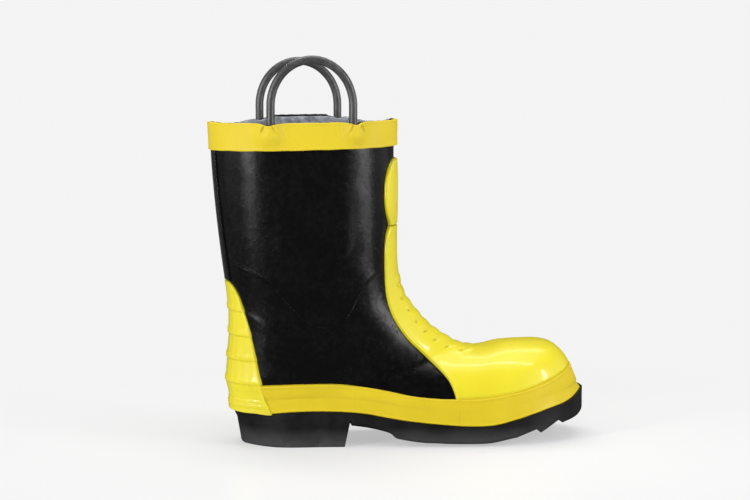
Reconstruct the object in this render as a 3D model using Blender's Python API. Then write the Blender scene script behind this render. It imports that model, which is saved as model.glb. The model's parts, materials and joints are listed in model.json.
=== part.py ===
"""Firefighter's rubber boot for the right foot, standing on its heel and forefoot.

+X points to the toe, +Y to the medial (inner) side and +Z up. The origin is the middle of the
bounding box at ground level. Lengths in the tables below are millimetres; meshes are in metres.

The upper is one lofted surface. Each of its sections lies in a plane that holds the Y direction,
so it shows in side view as a straight line from a front point to a back point. The sections are
level in the shaft, fan round the instep and stand upright in the toe. Every layer of the boot is
cut out of this surface at its own depth: positive depths lie inside it, negative ones outside.
"""

import math

import bmesh
import bpy
import numpy as np

MM = 0.001

# Driving dimensions, in millimetres
RIM_Z = 277.6
SHELL = 3.0
GAP = 0.7
LINING = 3.0
BAND = 2.5
BULGE = 9.0
BULGE_HALF = 14.5
BAND_BOTTOM_BACK, BAND_BOTTOM_FRONT = 253.2, 256.3
BACK_STRIP = 1.0
BACK_STRIP_HALF = 16.0
COVER = 2.5
COVER_GAP = 1.2
FOXING = 2.5
HEEL_GUARD = 3.0
GUARD_LEVELS = (140.5, 134.0, 122.0, 108.0, 94.0, 80.0, 66.0, 56.0, 48.0, 29.0)
GUARD_UPRIGHT = 48.0
SOLE_TOP_GAP = 0.7
LAP_BACK, LAP_FRONT = -46.0, 45.0
HEEL_BREAST_X = -47.1
SOLE_TIP_X = 164.4
HEEL_SEAT = 6.0
GROOVES = (4.0, 18.5, 33.0, 47.5, 62.0, 76.5, 91.0, 104.0, 116.5, 137.0)

HANDLE_TUBE = 3.5
HANDLE_X = -81.3
HANDLE_HALF = 34.5
HANDLE_Y = 57.8
HANDLE_TOP = 330.0
HINGE_Z = 284.0
ROOT_BOTTOM, ROOT_TOP = 265.0, 279.6

# Sections of the upper from the rim (first) to the tip of the toe (last).
# front x, front z, back x, back z, lateral, medial, centre y, widest point, front and back squareness
SECTIONS = np.array([
    (-5.4, 277.6, -161.9, 277.6, 57.0, 57.0, 0.0, 0.50, 2.3, 2.3),
    (-5.4, 245.0, -160.4, 245.0, 55.5, 55.5, 0.0, 0.50, 2.3, 2.3),
    (-5.4, 205.0, -157.2, 205.0, 53.0, 53.0, 0.0, 0.50, 2.3, 2.3),
    (-5.5, 170.0, -153.1, 168.0, 50.0, 50.0, 0.0, 0.50, 2.3, 2.3),
    (-4.2, 147.0, -149.8, 143.0, 47.5, 47.0, 0.0, 0.50, 2.3, 2.3),
    (0.5, 128.0, -146.2, 118.0, 45.0, 44.0, 0.0, 0.48, 2.3, 2.3),
    (8.5, 115.5, -145.0, 94.0, 43.5, 42.0, 0.0, 0.46, 2.3, 2.3),
    (18.0, 104.0, -146.3, 72.0, 42.0, 40.5, 0.0, 0.44, 2.3, 2.3),
    (27.0, 95.0, -146.4, 52.0, 41.0, 39.5, 0.0, 0.42, 2.3, 2.4),
    (35.0, 89.5, -143.0, 40.0, 40.5, 39.0, 0.0, 0.42, 2.3, 2.5),
    (42.0, 85.0, -134.0, 34.2, 40.0, 38.5, 0.0, 0.42, 2.3, 2.7),
    (50.0, 80.5, -112.0, 33.4, 39.5, 38.0, 0.0, 0.42, 2.3, 2.9),
    (58.0, 78.0, -75.0, 34.4, 41.0, 38.0, 0.0, 0.40, 2.3, 3.2),
    (67.0, 77.0, -40.0, 33.0, 44.0, 39.0, 0.0, 0.37, 2.2, 3.5),
    (78.0, 78.0, -8.0, 27.0, 48.0, 43.0, 0.5, 0.33, 2.2, 4.0),
    (92.0, 81.0, 30.0, 20.8, 52.0, 48.5, 1.0, 0.29, 2.2, 4.0),
    (108.0, 81.6, 68.0, 18.0, 54.0, 51.5, 2.0, 0.28, 2.2, 4.0),
    (122.0, 81.1, 98.0, 23.6, 52.0, 51.0, 4.0, 0.30, 2.3, 4.0),
    (133.0, 78.7, 120.0, 29.6, 47.0, 47.0, 6.0, 0.34, 2.3, 3.6),
    (142.0, 72.0, 136.0, 34.0, 38.5, 39.0, 8.0, 0.40, 2.3, 3.0),
    (149.8, 59.8, 147.0, 40.6, 25.0, 26.0, 9.0, 0.45, 2.2, 2.4),
    (154.0, 49.5, 153.5, 45.0, 10.5, 11.0, 10.0, 0.50, 2.0, 2.0),
    (154.8, 47.6, 154.8, 47.0, 1.5, 1.5, 10.0, 0.50, 2.0, 2.0),
])
TIP = len(SECTIONS) - 1
AROUND = 28

# Edges seen from the side, as (x, z)
FOXING_TOP = (
    (-124.0, 53.4), (-107.8, 54.4), (-82.3, 55.0), (-56.8, 54.3), (-34.4, 51.2), (-13.8, 47.4),
    (6.8, 43.3), (29.2, 41.2), (48.2, 40.9), (65.8, 41.4), (83.2, 43.6), (100.8, 46.8),
    (118.2, 51.9), (135.9, 59.0), (146.5, 62.6), (160.0, 61.5),
)
FOXING_BOTTOM = (
    (-150.0, 29.6), (-138.0, 28.8), (-126.0, 28.8), (-115.8, 29.3), (-89.4, 31.0), (-56.8, 30.5),
    (-34.8, 28.5), (-13.8, 24.6), (6.6, 21.6), (27.2, 19.4), (55.0, 17.4), (75.0, 18.0),
    (95.0, 22.2), (109.5, 26.2), (124.4, 30.3), (141.2, 33.9), (151.0, 36.9), (158.0, 39.4),
    (165.0, 41.6),
)
HEEL_GUARD_EDGE = (
    (-148.4, 141.6), (-146.4, 139.8), (-143.8, 136.4), (-140.0, 129.6), (-136.6, 119.6),
    (-132.7, 106.0), (-129.9, 92.9), (-126.5, 75.1), (-122.6, 54.2), (-118.4, 40.5),
    (-113.2, 27.5),
)
COVER_EDGE = (
    (-13.0, 191.0), (-13.8, 187.0), (-15.6, 181.0), (-16.8, 172.0), (-17.5, 134.5),
    (-16.6, 126.0), (-12.3, 114.0), (-4.6, 100.0), (8.4, 84.3), (21.4, 72.8), (30.9, 62.2),
    (36.1, 54.0), (40.0, 43.0), (48.2, 41.9), (65.8, 42.4), (83.2, 44.6), (100.8, 47.8),
    (118.2, 52.9), (135.9, 60.0), (146.5, 63.6), (160.0, 62.5),
)
SHIN_EDGE = (
    (-4.0, 246.0), (-9.0, 244.0), (-13.5, 238.0), (-16.6, 228.0), (-17.5, 215.0),
    (-16.8, 204.0), (-15.2, 196.5), (-13.4, 191.0), (-13.0, 186.0),
)
SOLE_UNDER = (
    (-46.0, 18.6), (-34.0, 17.0), (-22.0, 14.4), (-13.0, 11.4), (-9.0, 7.8), (-4.0, 6.2),
    (15.7, 1.6), (30.0, 0.4), (40.0, 0.0), (70.0, 0.0), (80.0, 1.4), (92.3, 4.0), (104.0, 6.8),
    (116.5, 9.7), (127.0, 13.2), (137.5, 16.3), (146.0, 17.6), (151.5, 18.4), (158.0, 19.6),
    (162.0, 21.6), (164.4, 28.0),
)
WALL_TURN = ((-150.0, 12.0), (105.0, 12.0), (125.0, 10.5), (140.0, 9.5), (152.0, 8.2), (165.0, 6.0))
COUNTER_EDGE = (
    (-152.0, 126.0), (-146.0, 121.0), (-134.7, 115.1), (-120.0, 106.4), (-108.4, 95.9),
    (-94.3, 87.5), (-72.0, 81.0), (-62.0, 72.0), (-58.0, 55.0), (-58.0, 20.0),
)
PLY_EDGE = (
    (-117.8, 143.5), (-108.5, 133.4), (-99.1, 122.6), (-86.1, 109.2), (-77.7, 104.9),
    (-68.2, 103.5), (-61.0, 104.9), (-52.5, 109.7), (-46.5, 117.9), (-40.4, 129.8),
    (-31.7, 143.7),
)
PAD_EDGE = (
    (-111.8, 165.5), (-103.8, 156.0), (-92.8, 149.0), (-80.8, 147.6), (-69.8, 150.5),
    (-61.8, 156.0), (-52.8, 164.0),
)

# Depths of the layers under the surface of the upper
CAP_DEPTH = (3.5, 5.2)
CAP_STRIP_DEPTH = (3.9, 5.3)
COUNTER_DEPTH = (3.5, 4.8)
PLY_DEPTH = (3.5, 4.3)
PAD_DEPTH = (4.8, 6.6)
PLATE_DEPTH = (3.5, 4.5)
BOARD_DEPTH = (5.0, 7.0)
FOOTBED_DEPTH = (11.6, 15.4)
ANKLE_TOP = 177.0
CAP_REACH = 0.17
PLATE_REACH = 0.66
# Section numbers at which the layers have a row of points; they close up where the upper turns
ROWS = np.array([
    0.0, 1.0, 2.0, 2.5, 3.0, 4.0, 4.5, 5.0, 5.5, 6.0, 7.0, 8.0, 8.5, 9.0, 9.5, 10.0, 11.0, 12.0,
    13.0, 14.0, 15.0, 16.0, 17.0, 17.5, 18.0, 18.5, 19.0, 19.5, 20.0, 20.5, 21.0, 21.5,
])
# The lining lies deeper wherever a stiffener is behind it: (section, front, back, side)
LINING_DEPTH = (
    (0.0, 3.6, 3.6, 3.6), (2.0, 3.6, 3.6, 3.6), (2.5, 3.6, 3.6, 7.3), (4.0, 3.6, 5.8, 7.3),
    (8.0, 3.6, 5.8, 7.3), (9.0, 3.6, 7.8, 6.4), (14.0, 3.6, 7.8, 6.4), (15.0, 6.1, 7.8, 6.4),
    (22.0, 6.1, 7.8, 6.4),
)


# --- the surface of the upper -------------------------------------------------------------------


def smooth_table(values, at):
    """Rows of values at fractional row numbers, by monotone cubic interpolation."""
    step = np.diff(values, axis=0)
    same = step[:-1] * step[1:] > 0
    mean = 2 * step[:-1] * step[1:] / np.where(same, step[:-1] + step[1:], 1)
    slope = np.vstack([step[:1], np.where(same, mean, 0), step[-1:]])
    row = np.clip(np.floor(at).astype(int), 0, len(values) - 2)
    f = (at - row)[:, None]
    low, high = values[row], values[row + 1]
    return (
        low * (1 + 2 * f) * (1 - f) ** 2 + high * f * f * (3 - 2 * f)
        + slope[row] * f * (1 - f) ** 2 - slope[row + 1] * f * f * (1 - f)
    )


def unit(vectors):
    return vectors / np.maximum(np.linalg.norm(vectors, axis=-1, keepdims=True), 1e-9)


class Skin:
    """The surface of the upper, moved inwards by (front, back, side) depths in millimetres."""

    def __init__(self, *depths):
        if len(depths) == 1:
            depths = depths * 3
        self.t = np.linspace(0, TIP, TIP * 24 + 1)
        table = smooth_table(SECTIONS, self.t)
        front, back = table[:, 0:2], table[:, 2:4]
        along = unit(front - back)
        depth = [np.interp(self.t, *d) if isinstance(d, tuple) else d + 0 * self.t for d in depths]
        middle = back + (front - back) * table[:, 7:8]
        across = np.column_stack([along[:, 1], -along[:, 0]])
        travel = np.abs(np.sum(np.gradient(middle, axis=0) * across, axis=1))
        grow = np.sqrt(1 + (np.gradient(table[:, 4:6], axis=0) / travel[:, None]) ** 2)
        self.front = front - along * (depth[0] / self.tilt(front, -along))[:, None]
        self.back = back + along * (depth[1] / self.tilt(back, along))[:, None]
        self.lateral = table[:, 4] - depth[2] * grow[:, 0]
        self.medial = table[:, 5] - depth[2] * grow[:, 1]
        self.centre, self.widest, self.n_front, self.n_back = table[:, 6:10].T
        room = np.minimum(np.sum((self.front - self.back) * along, axis=1), self.lateral)
        short = np.nonzero(room < 0.6)[0]
        self.end = self.t[short[0] - 1] if len(short) else self.t[-1]

    @staticmethod
    def tilt(line, inwards):
        """How squarely each section meets the profile line, from 0.3 to 1."""
        run = unit(np.gradient(line, axis=0))
        normal = np.column_stack([run[:, 1], -run[:, 0]])
        return np.maximum(np.abs(np.sum(normal * inwards, axis=1)), 0.3)

    def read(self, values, t):
        if values.ndim == 1:
            return np.interp(t, self.t, values)
        return np.stack([np.interp(t, self.t, v) for v in values.T], axis=-1)

    def at(self, t, angle):
        """Points at section t and angle, which is 0 at the front and pi/2 on the medial side."""
        t, angle = np.broadcast_arrays(np.asarray(t, float), np.asarray(angle, float))
        c, s = np.cos(angle), np.sin(angle)
        n = np.where(c > 0, self.read(self.n_front, t), self.read(self.n_back, t))
        widest = self.read(self.widest, t)
        reach = np.abs(c) ** (2 / n) * np.where(c > 0, 1 - widest, -widest)
        back = self.read(self.back, t)
        place = back + (widest + reach)[..., None] * (self.read(self.front, t) - back)
        half = np.where(s > 0, self.read(self.medial, t), -self.read(self.lateral, t))
        y = self.read(self.centre, t) + half * np.abs(s) ** (2 / n)
        return np.stack([place[..., 0], y, place[..., 1]], axis=-1)

    def normal(self, t, angle):
        step = 0.03
        t, angle = np.broadcast_arrays(np.asarray(t, float), np.asarray(angle, float))
        low, high = np.clip(t - step, 0, self.end), np.clip(t + step, 0, self.end)
        down = self.at(high, angle) - self.at(low, angle)
        round_ = self.at(t, angle + step) - self.at(t, angle - step)
        return unit(np.cross(down, round_))

    def locate(self, x, z):
        """The section through each side-view point, and how far from back (0) to front (1) it is."""
        low, high = np.zeros_like(x), np.full_like(x, TIP)
        for _ in range(20):
            mid = (low + high) / 2
            back = self.read(self.back, mid)
            run = self.read(self.front, mid) - back
            over = run[..., 0] * (z - back[..., 1]) - run[..., 1] * (x - back[..., 0])
            low, high = np.where(over < 0, mid, low), np.where(over < 0, high, mid)
        back = self.read(self.back, low)
        run = self.read(self.front, low) - back
        share = ((x - back[..., 0]) * run[..., 0] + (z - back[..., 1]) * run[..., 1])
        return low, share / np.maximum(np.sum(run * run, axis=-1), 1e-9)

    def sides(self, x, z):
        """The lateral and medial y of the surface at side-view points, or NaN outside it."""
        x, z = np.broadcast_arrays(np.asarray(x, float), np.asarray(z, float))
        t, share = self.locate(x, z)
        widest = self.read(self.widest, t)
        front = share > widest
        reach = np.where(front, (share - widest) / (1 - widest), (widest - share) / widest)
        n = np.where(front, self.read(self.n_front, t), self.read(self.n_back, t))
        width = np.where(reach < 1, np.maximum(1 - np.abs(reach) ** n, 0) ** (1 / n), np.nan)
        centre = self.read(self.centre, t)
        return centre - self.read(self.lateral, t) * width, centre + self.read(self.medial, t) * width

    def edge_angle(self, t, edge):
        """The angle, 0 to pi, at which section t crosses a side-view edge; NaN where it misses."""
        back, front = self.read(self.back, t), self.read(self.front, t)
        run = front - back
        edge = np.asarray(edge)
        over = run[0] * (edge[:, 1] - back[1]) - run[1] * (edge[:, 0] - back[0])
        hits = np.nonzero(over[:-1] * over[1:] <= 0)[0]
        for i in hits:
            f = over[i] / (over[i] - over[i + 1]) if over[i] != over[i + 1] else 0
            point = edge[i] + f * (edge[i + 1] - edge[i])
            share = np.dot(point - back, run) / np.dot(run, run)
            if -0.02 <= share <= 1.02:
                return max(self.share_angle(t, share), 0.06)
        return math.nan

    def share_angle(self, t, share):
        """The angle of a point that is this share of the way from back to front."""
        widest = self.read(self.widest, t)
        if share > widest:
            reach, n = (share - widest) / (1 - widest), self.read(self.n_front, t)
            return math.acos(min(reach, 1) ** (n / 2))
        reach, n = (widest - share) / widest, self.read(self.n_back, t)
        return math.pi - math.acos(min(reach, 1) ** (n / 2))


OUTER = Skin(0.0)


def line_at(line, x):
    """The z of a side-view line at x."""
    return np.interp(x, *np.transpose(line))


def rows_between(start, end):
    """Section numbers from start to end, with the common rows between them."""
    return np.array([start, *ROWS[(ROWS > start + 0.12) & (ROWS < end - 0.12)], end])


# --- meshes and materials -----------------------------------------------------------------------


def clear_scene():
    for obj in list(bpy.data.objects):
        bpy.data.objects.remove(obj)


def principled(name, colour, roughness, metallic=0.0):
    material = bpy.data.materials.new(name)
    material.use_nodes = True
    shader = material.node_tree.nodes["Principled BSDF"]
    shader.inputs["Base Color"].default_value = (*colour, 1.0)
    shader.inputs["Roughness"].default_value = roughness
    shader.inputs["Metallic"].default_value = metallic
    material.diffuse_color = (*colour, 1.0)
    return material


def finish_object(name, bm, material, location=(0, 0, 0), parent=None):
    """Turns a bmesh in metres into a smooth-shaded object."""
    bmesh.ops.recalc_face_normals(bm, faces=bm.faces)
    mesh = bpy.data.meshes.new(name)
    bm.to_mesh(mesh)
    bm.free()
    mesh.shade_smooth()
    mesh.set_sharp_from_angle(angle=math.radians(40))
    mesh.materials.append(material)
    obj = bpy.data.objects.new(name, mesh)
    bpy.context.collection.objects.link(obj)
    obj.parent = parent
    obj.location = location
    return obj


def add_grid(bm, points):
    return [[bm.verts.new(p) for p in row] for row in points * MM]


def add_faces(bm, grid, wrap):
    for a, b in zip(grid, grid[1:]):
        count = len(a)
        for i in range(count if wrap else count - 1):
            j = (i + 1) % count
            bm.faces.new((a[i], a[j], b[j], b[i]))


def add_pole(bm, row, point, wrap):
    tip = bm.verts.new(point * MM)
    count = len(row)
    for i in range(count if wrap else count - 1):
        bm.faces.new((row[i], row[(i + 1) % count], tip))
    return tip


def ring_solid(name, outer, inner, material, poles=None):
    """A wall between two tubes of sections; with poles, both tubes are closed at their far end."""
    bm = bmesh.new()
    skins = [add_grid(bm, outer), add_grid(bm, inner)]
    for skin in skins:
        add_faces(bm, skin, True)
    add_faces(bm, [skins[0][0], skins[1][0]], True)
    if poles:
        for skin, pole in zip(skins, poles):
            add_pole(bm, skin[-1], np.array(pole), True)
    else:
        add_faces(bm, [skins[0][-1], skins[1][-1]], True)
    return finish_object(name, bm, material)


def patch_solid(name, outer, inner, material, poles=None):
    """A plate between two grids of the same size; with poles, its last row ends in a point."""
    bm = bmesh.new()
    skins = [add_grid(bm, outer), add_grid(bm, inner)]
    for skin in skins:
        add_faces(bm, skin, False)
    first, second = skins
    add_faces(bm, [first[0], second[0]], False)
    ends = [[row[0] for row in skin] for skin in skins]
    others = [[row[-1] for row in skin] for skin in skins]
    if poles:
        tips = [add_pole(bm, s[-1], np.array(p), False) for s, p in zip(skins, poles)]
        for side in (ends, others):
            for line, tip in zip(side, tips):
                line.append(tip)
    else:
        add_faces(bm, [first[-1], second[-1]], False)
    add_faces(bm, ends, False)
    add_faces(bm, others, False)
    return finish_object(name, bm, material)


def loft_solid(name, rings, material, **place):
    """A solid through closed rings of the same number of points, with flat ends."""
    bm = bmesh.new()
    grid = add_grid(bm, np.asarray(rings, float))
    add_faces(bm, grid, True)
    bm.faces.new(grid[0])
    bm.faces.new(grid[-1])
    return finish_object(name, bm, material, **place)


# --- pieces cut from the upper ------------------------------------------------------------------


def raised(t, angle, height):
    """Points this far outside the upper, along its normal."""
    height = np.asarray(height, float)
    return OUTER.at(t, angle) + OUTER.normal(t, angle) * height[..., None]


def closed_layer(name, outer, inner, material, top, plain_above=0.0):
    """A bag-shaped layer between two skins, open at the top and closed at the toe.

    Its inner skin has only every second row above section plain_above.
    """
    angles = np.arange(AROUND) * 2 * math.pi / AROUND
    grids, poles = [], []
    for skin, plain in ((outer, 0.0), (inner, plain_above)):
        rows = rows_between(top, skin.end - 0.02)
        rows = rows[(rows > plain) | (np.arange(len(rows)) % 2 == 0)]
        grid = skin.at(rows[:, None], angles[None, :])
        grids.append(grid)
        last = grid[-1].mean(axis=0)
        poles.append(last + (0.4, 0, 0))
    return ring_solid(name, *grids, material, poles=poles)


def depth_patch(name, rows, spans, depths, material, columns, poles=False):
    """A plate inside the upper between two depths; spans gives each row its first and last angle."""
    angles = np.array([np.linspace(a, b, columns) for a, b in spans])
    grids = [Skin(depth).at(rows[:, None], angles) for depth in depths]
    tips = [grid[-1].mean(axis=0) + (0.3, 0, 0) for grid in grids] if poles else None
    return patch_solid(name, *grids, material, poles=tips)


def front_spans(rows, edge):
    """Angles from the lateral side over the front to the medial side, out to a side-view edge."""
    angles = [OUTER.edge_angle(t, edge) for t in rows]
    return [(-a, a) for a in angles]


def back_spans(rows, edge):
    """Angles from the medial side round the back to the lateral side, out to a side-view edge."""
    angles = [OUTER.edge_angle(t, edge) for t in rows]
    return [(a, 2 * math.pi - a) for a in angles]


def build_shell(paint):
    return closed_layer("upper_shell", OUTER, Skin(SHELL), paint["black_rubber"], 0.08)


def lining_skins():
    knots, front, back, side = np.transpose(LINING_DEPTH)
    return [
        Skin(*[(knots, values + extra) for values in (front, back, side)])
        for extra in (0.0, LINING)
    ]


def build_lining(paint):
    outer, inner = lining_skins()
    return closed_layer("lining", outer, inner, paint["felt"], 0.02, 9.2)


def build_rim_bead(paint):
    angles = np.arange(AROUND) * 2 * math.pi / AROUND
    grids = []
    for skin in (OUTER, Skin(SHELL)):
        ring = skin.at(0.0, angles)
        low = ring.copy()
        low[:, 2] = RIM_Z - 2.2
        grids.append(np.array([ring, low]))
    return ring_solid("rim_bead", *grids, paint["black_rubber"])


def build_instep_cover(paint):
    rows = np.array([2.47, 2.6, 2.8, *rows_between(3.0, 19.5), 19.64])
    spans = front_spans(rows, COVER_EDGE)
    angles = np.array([np.linspace(a, b, 15) for a, b in spans])
    grids = [raised(rows[:, None], angles, up + 0 * angles) for up in (GAP + COVER, COVER_GAP)]
    return patch_solid("toe_instep_cover", *grids, paint["yellow_rubber"])


def build_shin_guard(paint):
    rows = np.array([0.99, 1.05, 1.2, 1.45, 1.75, 2.0, 2.15, 2.3, 2.44])
    spans = front_spans(rows, SHIN_EDGE)
    angles = np.array([np.linspace(a, b, 11) for a, b in spans])
    grids = [raised(rows[:, None], angles, GAP + up + 0 * angles) for up in (COVER, 0.0)]
    return patch_solid("shin_guard", *grids, paint["yellow_rubber"])


def build_back_strip(paint):
    rows = rows_between(0.78, 3.97)
    angles = []
    for t in rows:
        reach = BACK_STRIP_HALF / OUTER.read(OUTER.lateral, t)
        reach = reach ** (OUTER.read(OUTER.n_back, t) / 2)
        angles.append(np.linspace(math.pi - math.asin(reach), math.pi + math.asin(reach), 5))
    angles = np.array(angles)
    grids = [raised(rows[:, None], angles, GAP + up + 0 * angles) for up in (BACK_STRIP, 0.0)]
    return patch_solid("back_strip", *grids, paint["black_rubber"])


def root_places():
    return [
        (HANDLE_X + end * HANDLE_HALF, side * HANDLE_Y)
        for side in (-1, 1) for end in (-1, 1)
    ]


def band_bulge(points):
    """1 where a handle root lies behind the band, falling to 0 beside it."""
    bulge = np.zeros(points.shape[:-1])
    for x, y in root_places():
        beside = np.where(points[..., 1] * y > 0, np.abs(points[..., 0] - x), 1e3)
        rise = np.clip((BULGE_HALF - beside) / 9.0, 0, 1)
        bulge = np.maximum(bulge, rise * rise * (3 - 2 * rise))
    return bulge


def band_angles():
    """Even angles round the collar, with closer ones at the handle roots."""
    even = np.arange(36) * 2 * math.pi / 36
    table = np.linspace(0, 2 * math.pi, 2001)[:-1]
    ring = OUTER.at(0.3, table)
    close = []
    for x, y in root_places():
        for beside in (-14.0, -10.0, -6.0, 0.0, 6.0, 10.0, 14.0):
            miss = np.abs(ring[:, 0] - x - beside) + np.where(ring[:, 1] * y > 0, 0, 1e3)
            close.append(table[np.argmin(miss)])
    kept = [a for a in even if min(abs(a - c) for c in close) > 0.08]
    return np.sort(np.array(kept + close))


def build_collar_band(paint):
    angles = band_angles()
    bottom = OUTER.at(0.7, angles)
    slope = (BAND_BOTTOM_FRONT - BAND_BOTTOM_BACK) / (SECTIONS[0, 0] - SECTIONS[0, 2])
    low = BAND_BOTTOM_BACK + slope * (bottom[:, 0] - SECTIONS[0, 2])
    levels = [(RIM_Z + 0 * low, 1.0), (272 + 0 * low, 1.0), (264 + 0 * low, 1.0), (low, 0.4)]
    grids = []
    for height in (GAP + BAND, GAP):
        rows = []
        for level, share in levels:
            t = (RIM_Z - level) / (RIM_Z - SECTIONS[1, 1])
            base = OUTER.at(t, angles)
            out = OUTER.normal(t, angles)
            lift = height + band_bulge(base) * share * BULGE
            row = base + out * lift[:, None]
            row[:, 2] = level
            rows.append(row)
        grids.append(np.array(rows))
    return ring_solid("collar_band", *grids, paint["yellow_band"])


# --- walls round the foot -----------------------------------------------------------------------


def turn_height(x):
    """The height at which the side of the foot starts to turn in under it."""
    return line_at(FOXING_BOTTOM, x) + line_at(WALL_TURN, x)


def wall_points(rays, line, offset):
    """Points outside the upper at a side-view line, one for each level ray from (x, y).

    Below the turn of the upper they stay upright under it instead of following it inwards.
    """
    x, y, dx, dy = np.transpose(rays)
    tip = OUTER.front[:, 0].max()
    near, far = np.zeros_like(x), np.full_like(x, 120.0)
    for _ in range(24):
        mid = (near + far) / 2
        px, py = x + dx * mid, y + dy * mid
        lateral, medial = OUTER.sides(px, np.maximum(line_at(line, px), turn_height(px)))
        inside = (py > lateral) & (py < medial) & (px < tip)
        near, far = np.where(inside, mid, near), np.where(inside, far, mid)
    px, py = x + dx * near, y + dy * near
    z = line_at(line, px)
    t, share = OUTER.locate(px, np.maximum(z, turn_height(px)))
    angle = np.array([OUTER.share_angle(a, b) for a, b in zip(t, share)])
    centre = OUTER.read(OUTER.centre, t)
    out = OUTER.normal(t, np.where(py > centre, angle, -angle))
    follow = np.clip((z - turn_height(px)) / 4.0, 0, 1)
    out[:, 2] *= follow
    place = np.column_stack([px, py, z]) + unit(out) * offset
    place[:, 2] = place[:, 2] * follow + line_at(line, place[:, 0]) * (1 - follow)
    return place


def wall_grids(rays, lines, thickness):
    """Outer and inner grids of a wall round the foot, one row of rays for each line."""
    return [
        np.array([wall_points(own, line, up) for own, line in zip(rays, lines)])
        for up in (GAP + thickness, COVER_GAP)
    ]


def side_rays(start, end, side, count):
    x = np.linspace(start, end, count)
    return [(a, 0.0, 0.0, side) for a in x]


def fan_rays(x, first, last, count, y=0.0):
    turns = np.radians(np.linspace(first, last, count))
    return [(x, y, math.cos(a), math.sin(a)) for a in turns]


def between(low, high, share):
    """A side-view line part of the way up from one line to another."""
    x = np.linspace(-150, 165, 64)
    return np.column_stack([x, line_at(low, x) * (1 - share) + line_at(high, x) * share])


def guard_front(z):
    """The x of the heel guard's front edge at a height."""
    edge = np.array(HEEL_GUARD_EDGE)[::-1]
    return np.interp(z, edge[:, 1], edge[:, 0])


def build_foxing(paint):
    """The yellow strip round the foot: five lengths, butted at lap seams and at the heel guard."""
    lines = [between(FOXING_BOTTOM, FOXING_TOP, share) for share in (1.0, 0.75, 0.5, 0.0)]
    yellow = paint["yellow_foxing"]
    for side, label in ((-1.0, "lateral"), (1.0, "medial")):
        rays = []
        for line in lines:
            start = guard_front(line_at(line, -118.0)) + 1.2
            rays.append([(start, 0.0, 0.0, side), *side_rays(-109.0, LAP_BACK, side, 6)])
        patch_solid(f"foxing_heel_{label}", *wall_grids(rays, lines, FOXING), yellow)
        rays = [side_rays(LAP_BACK + 0.6, LAP_FRONT, side, 8)] * len(lines)
        patch_solid(f"foxing_side_{label}", *wall_grids(rays, lines, FOXING), yellow)
    lines = [between(FOXING_BOTTOM, FOXING_TOP, share) for share in (1.0, 0.8, 0.6, 0.4, 0.2, 0.0)]
    rays = [[
        *side_rays(LAP_FRONT + 0.6, 82.0, -1.0, 4), *fan_rays(90.0, -82, 82, 23, 5.0),
        *side_rays(82.0, LAP_FRONT + 0.6, 1.0, 4),
    ]] * len(lines)
    patch_solid("foxing_toe", *wall_grids(rays, lines, FOXING), yellow)


def build_heel_guard(paint):
    """The ribbed guard behind the heel: level rows from edge to edge round the back."""
    on_back = OUTER.t < 9.0
    turn = np.radians(np.linspace(-90, 90, 15))
    grids = []
    for offset in (GAP + HEEL_GUARD, GAP):
        grid = []
        for level in GUARD_LEVELS:
            z = max(level, GUARD_UPRIGHT)
            back_x = np.interp(-z, -OUTER.back[on_back, 1], OUTER.back[on_back, 0])
            x = back_x + 0.02 + (guard_front(level) - back_x) * (1 - np.cos(turn))
            lateral, medial = OUTER.sides(x, np.full_like(x, z))
            y = np.where(turn < 0, lateral, medial) * (np.abs(turn) > 1e-6)
            run = np.gradient(np.column_stack([x, y]), axis=0)
            place = np.column_stack([x, y]) + unit(np.column_stack([-run[:, 1], run[:, 0]])) * offset
            height = np.full_like(x, level)
            if level == GUARD_LEVELS[-1]:
                height = line_at(FOXING_BOTTOM, place[:, 0])
            grid.append(np.column_stack([place, height]))
        grids.append(np.array(grid))
    return patch_solid("heel_guard", *grids, paint["yellow_rubber"])


# --- stiffeners inside --------------------------------------------------------------------------


def build_toe_cap(paint):
    rows = rows_between(16.0, 20.0)
    spans = [(-a, a) for a in [OUTER.share_angle(t, CAP_REACH) for t in rows]]
    depth_patch("steel_toe_cap", rows, spans, CAP_DEPTH, paint["steel"], 15, poles=True)
    rows = np.array([15.6, 15.9])
    spans = [(-a, a) for a in [OUTER.share_angle(t, CAP_REACH) for t in rows]]
    depth_patch("toe_cap_edge_strip", rows, spans, CAP_STRIP_DEPTH, paint["black_rubber"], 15)


def build_heel_counter(paint):
    rows = rows_between(5.0, 9.0)
    spans = back_spans(rows, COUNTER_EDGE)
    return depth_patch("heel_counter", rows, spans, COUNTER_DEPTH, paint["fibreboard"], 15)


def ankle_piece(name, edge, depths, rows, material, side):
    """A layer over one ankle, from a level top down to a curved lower edge seen from the side."""
    x = np.linspace(edge[0][0] + 2, edge[-1][0] - 2, 9)
    grids = []
    for depth in depths:
        skin = Skin(depth)
        grid = []
        for share in np.linspace(0, 1, rows):
            z = ANKLE_TOP + (line_at(edge, x) - ANKLE_TOP) * share
            lateral, medial = skin.sides(x, z)
            grid.append(np.column_stack([x, lateral if side < 0 else medial, z]))
        grids.append(np.array(grid))
    return patch_solid(name, *grids, material)


def build_ankle_layers(paint):
    for side, label in ((-1, "lateral"), (1, "medial")):
        ankle_piece(f"ankle_ply_{label}", PLY_EDGE, PLY_DEPTH, 6, paint["canvas"], side)
        ankle_piece(f"ankle_pad_{label}", PAD_EDGE, PAD_DEPTH, 4, paint["foam"], side)


def bottom_spans(rows, reach):
    """Angles that cover this share of the bottom's width."""
    spans = []
    for t in rows:
        a = math.asin(reach ** (float(OUTER.read(OUTER.n_back, t)) / 2))
        spans.append((math.pi - a, math.pi + a))
    return spans


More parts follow.
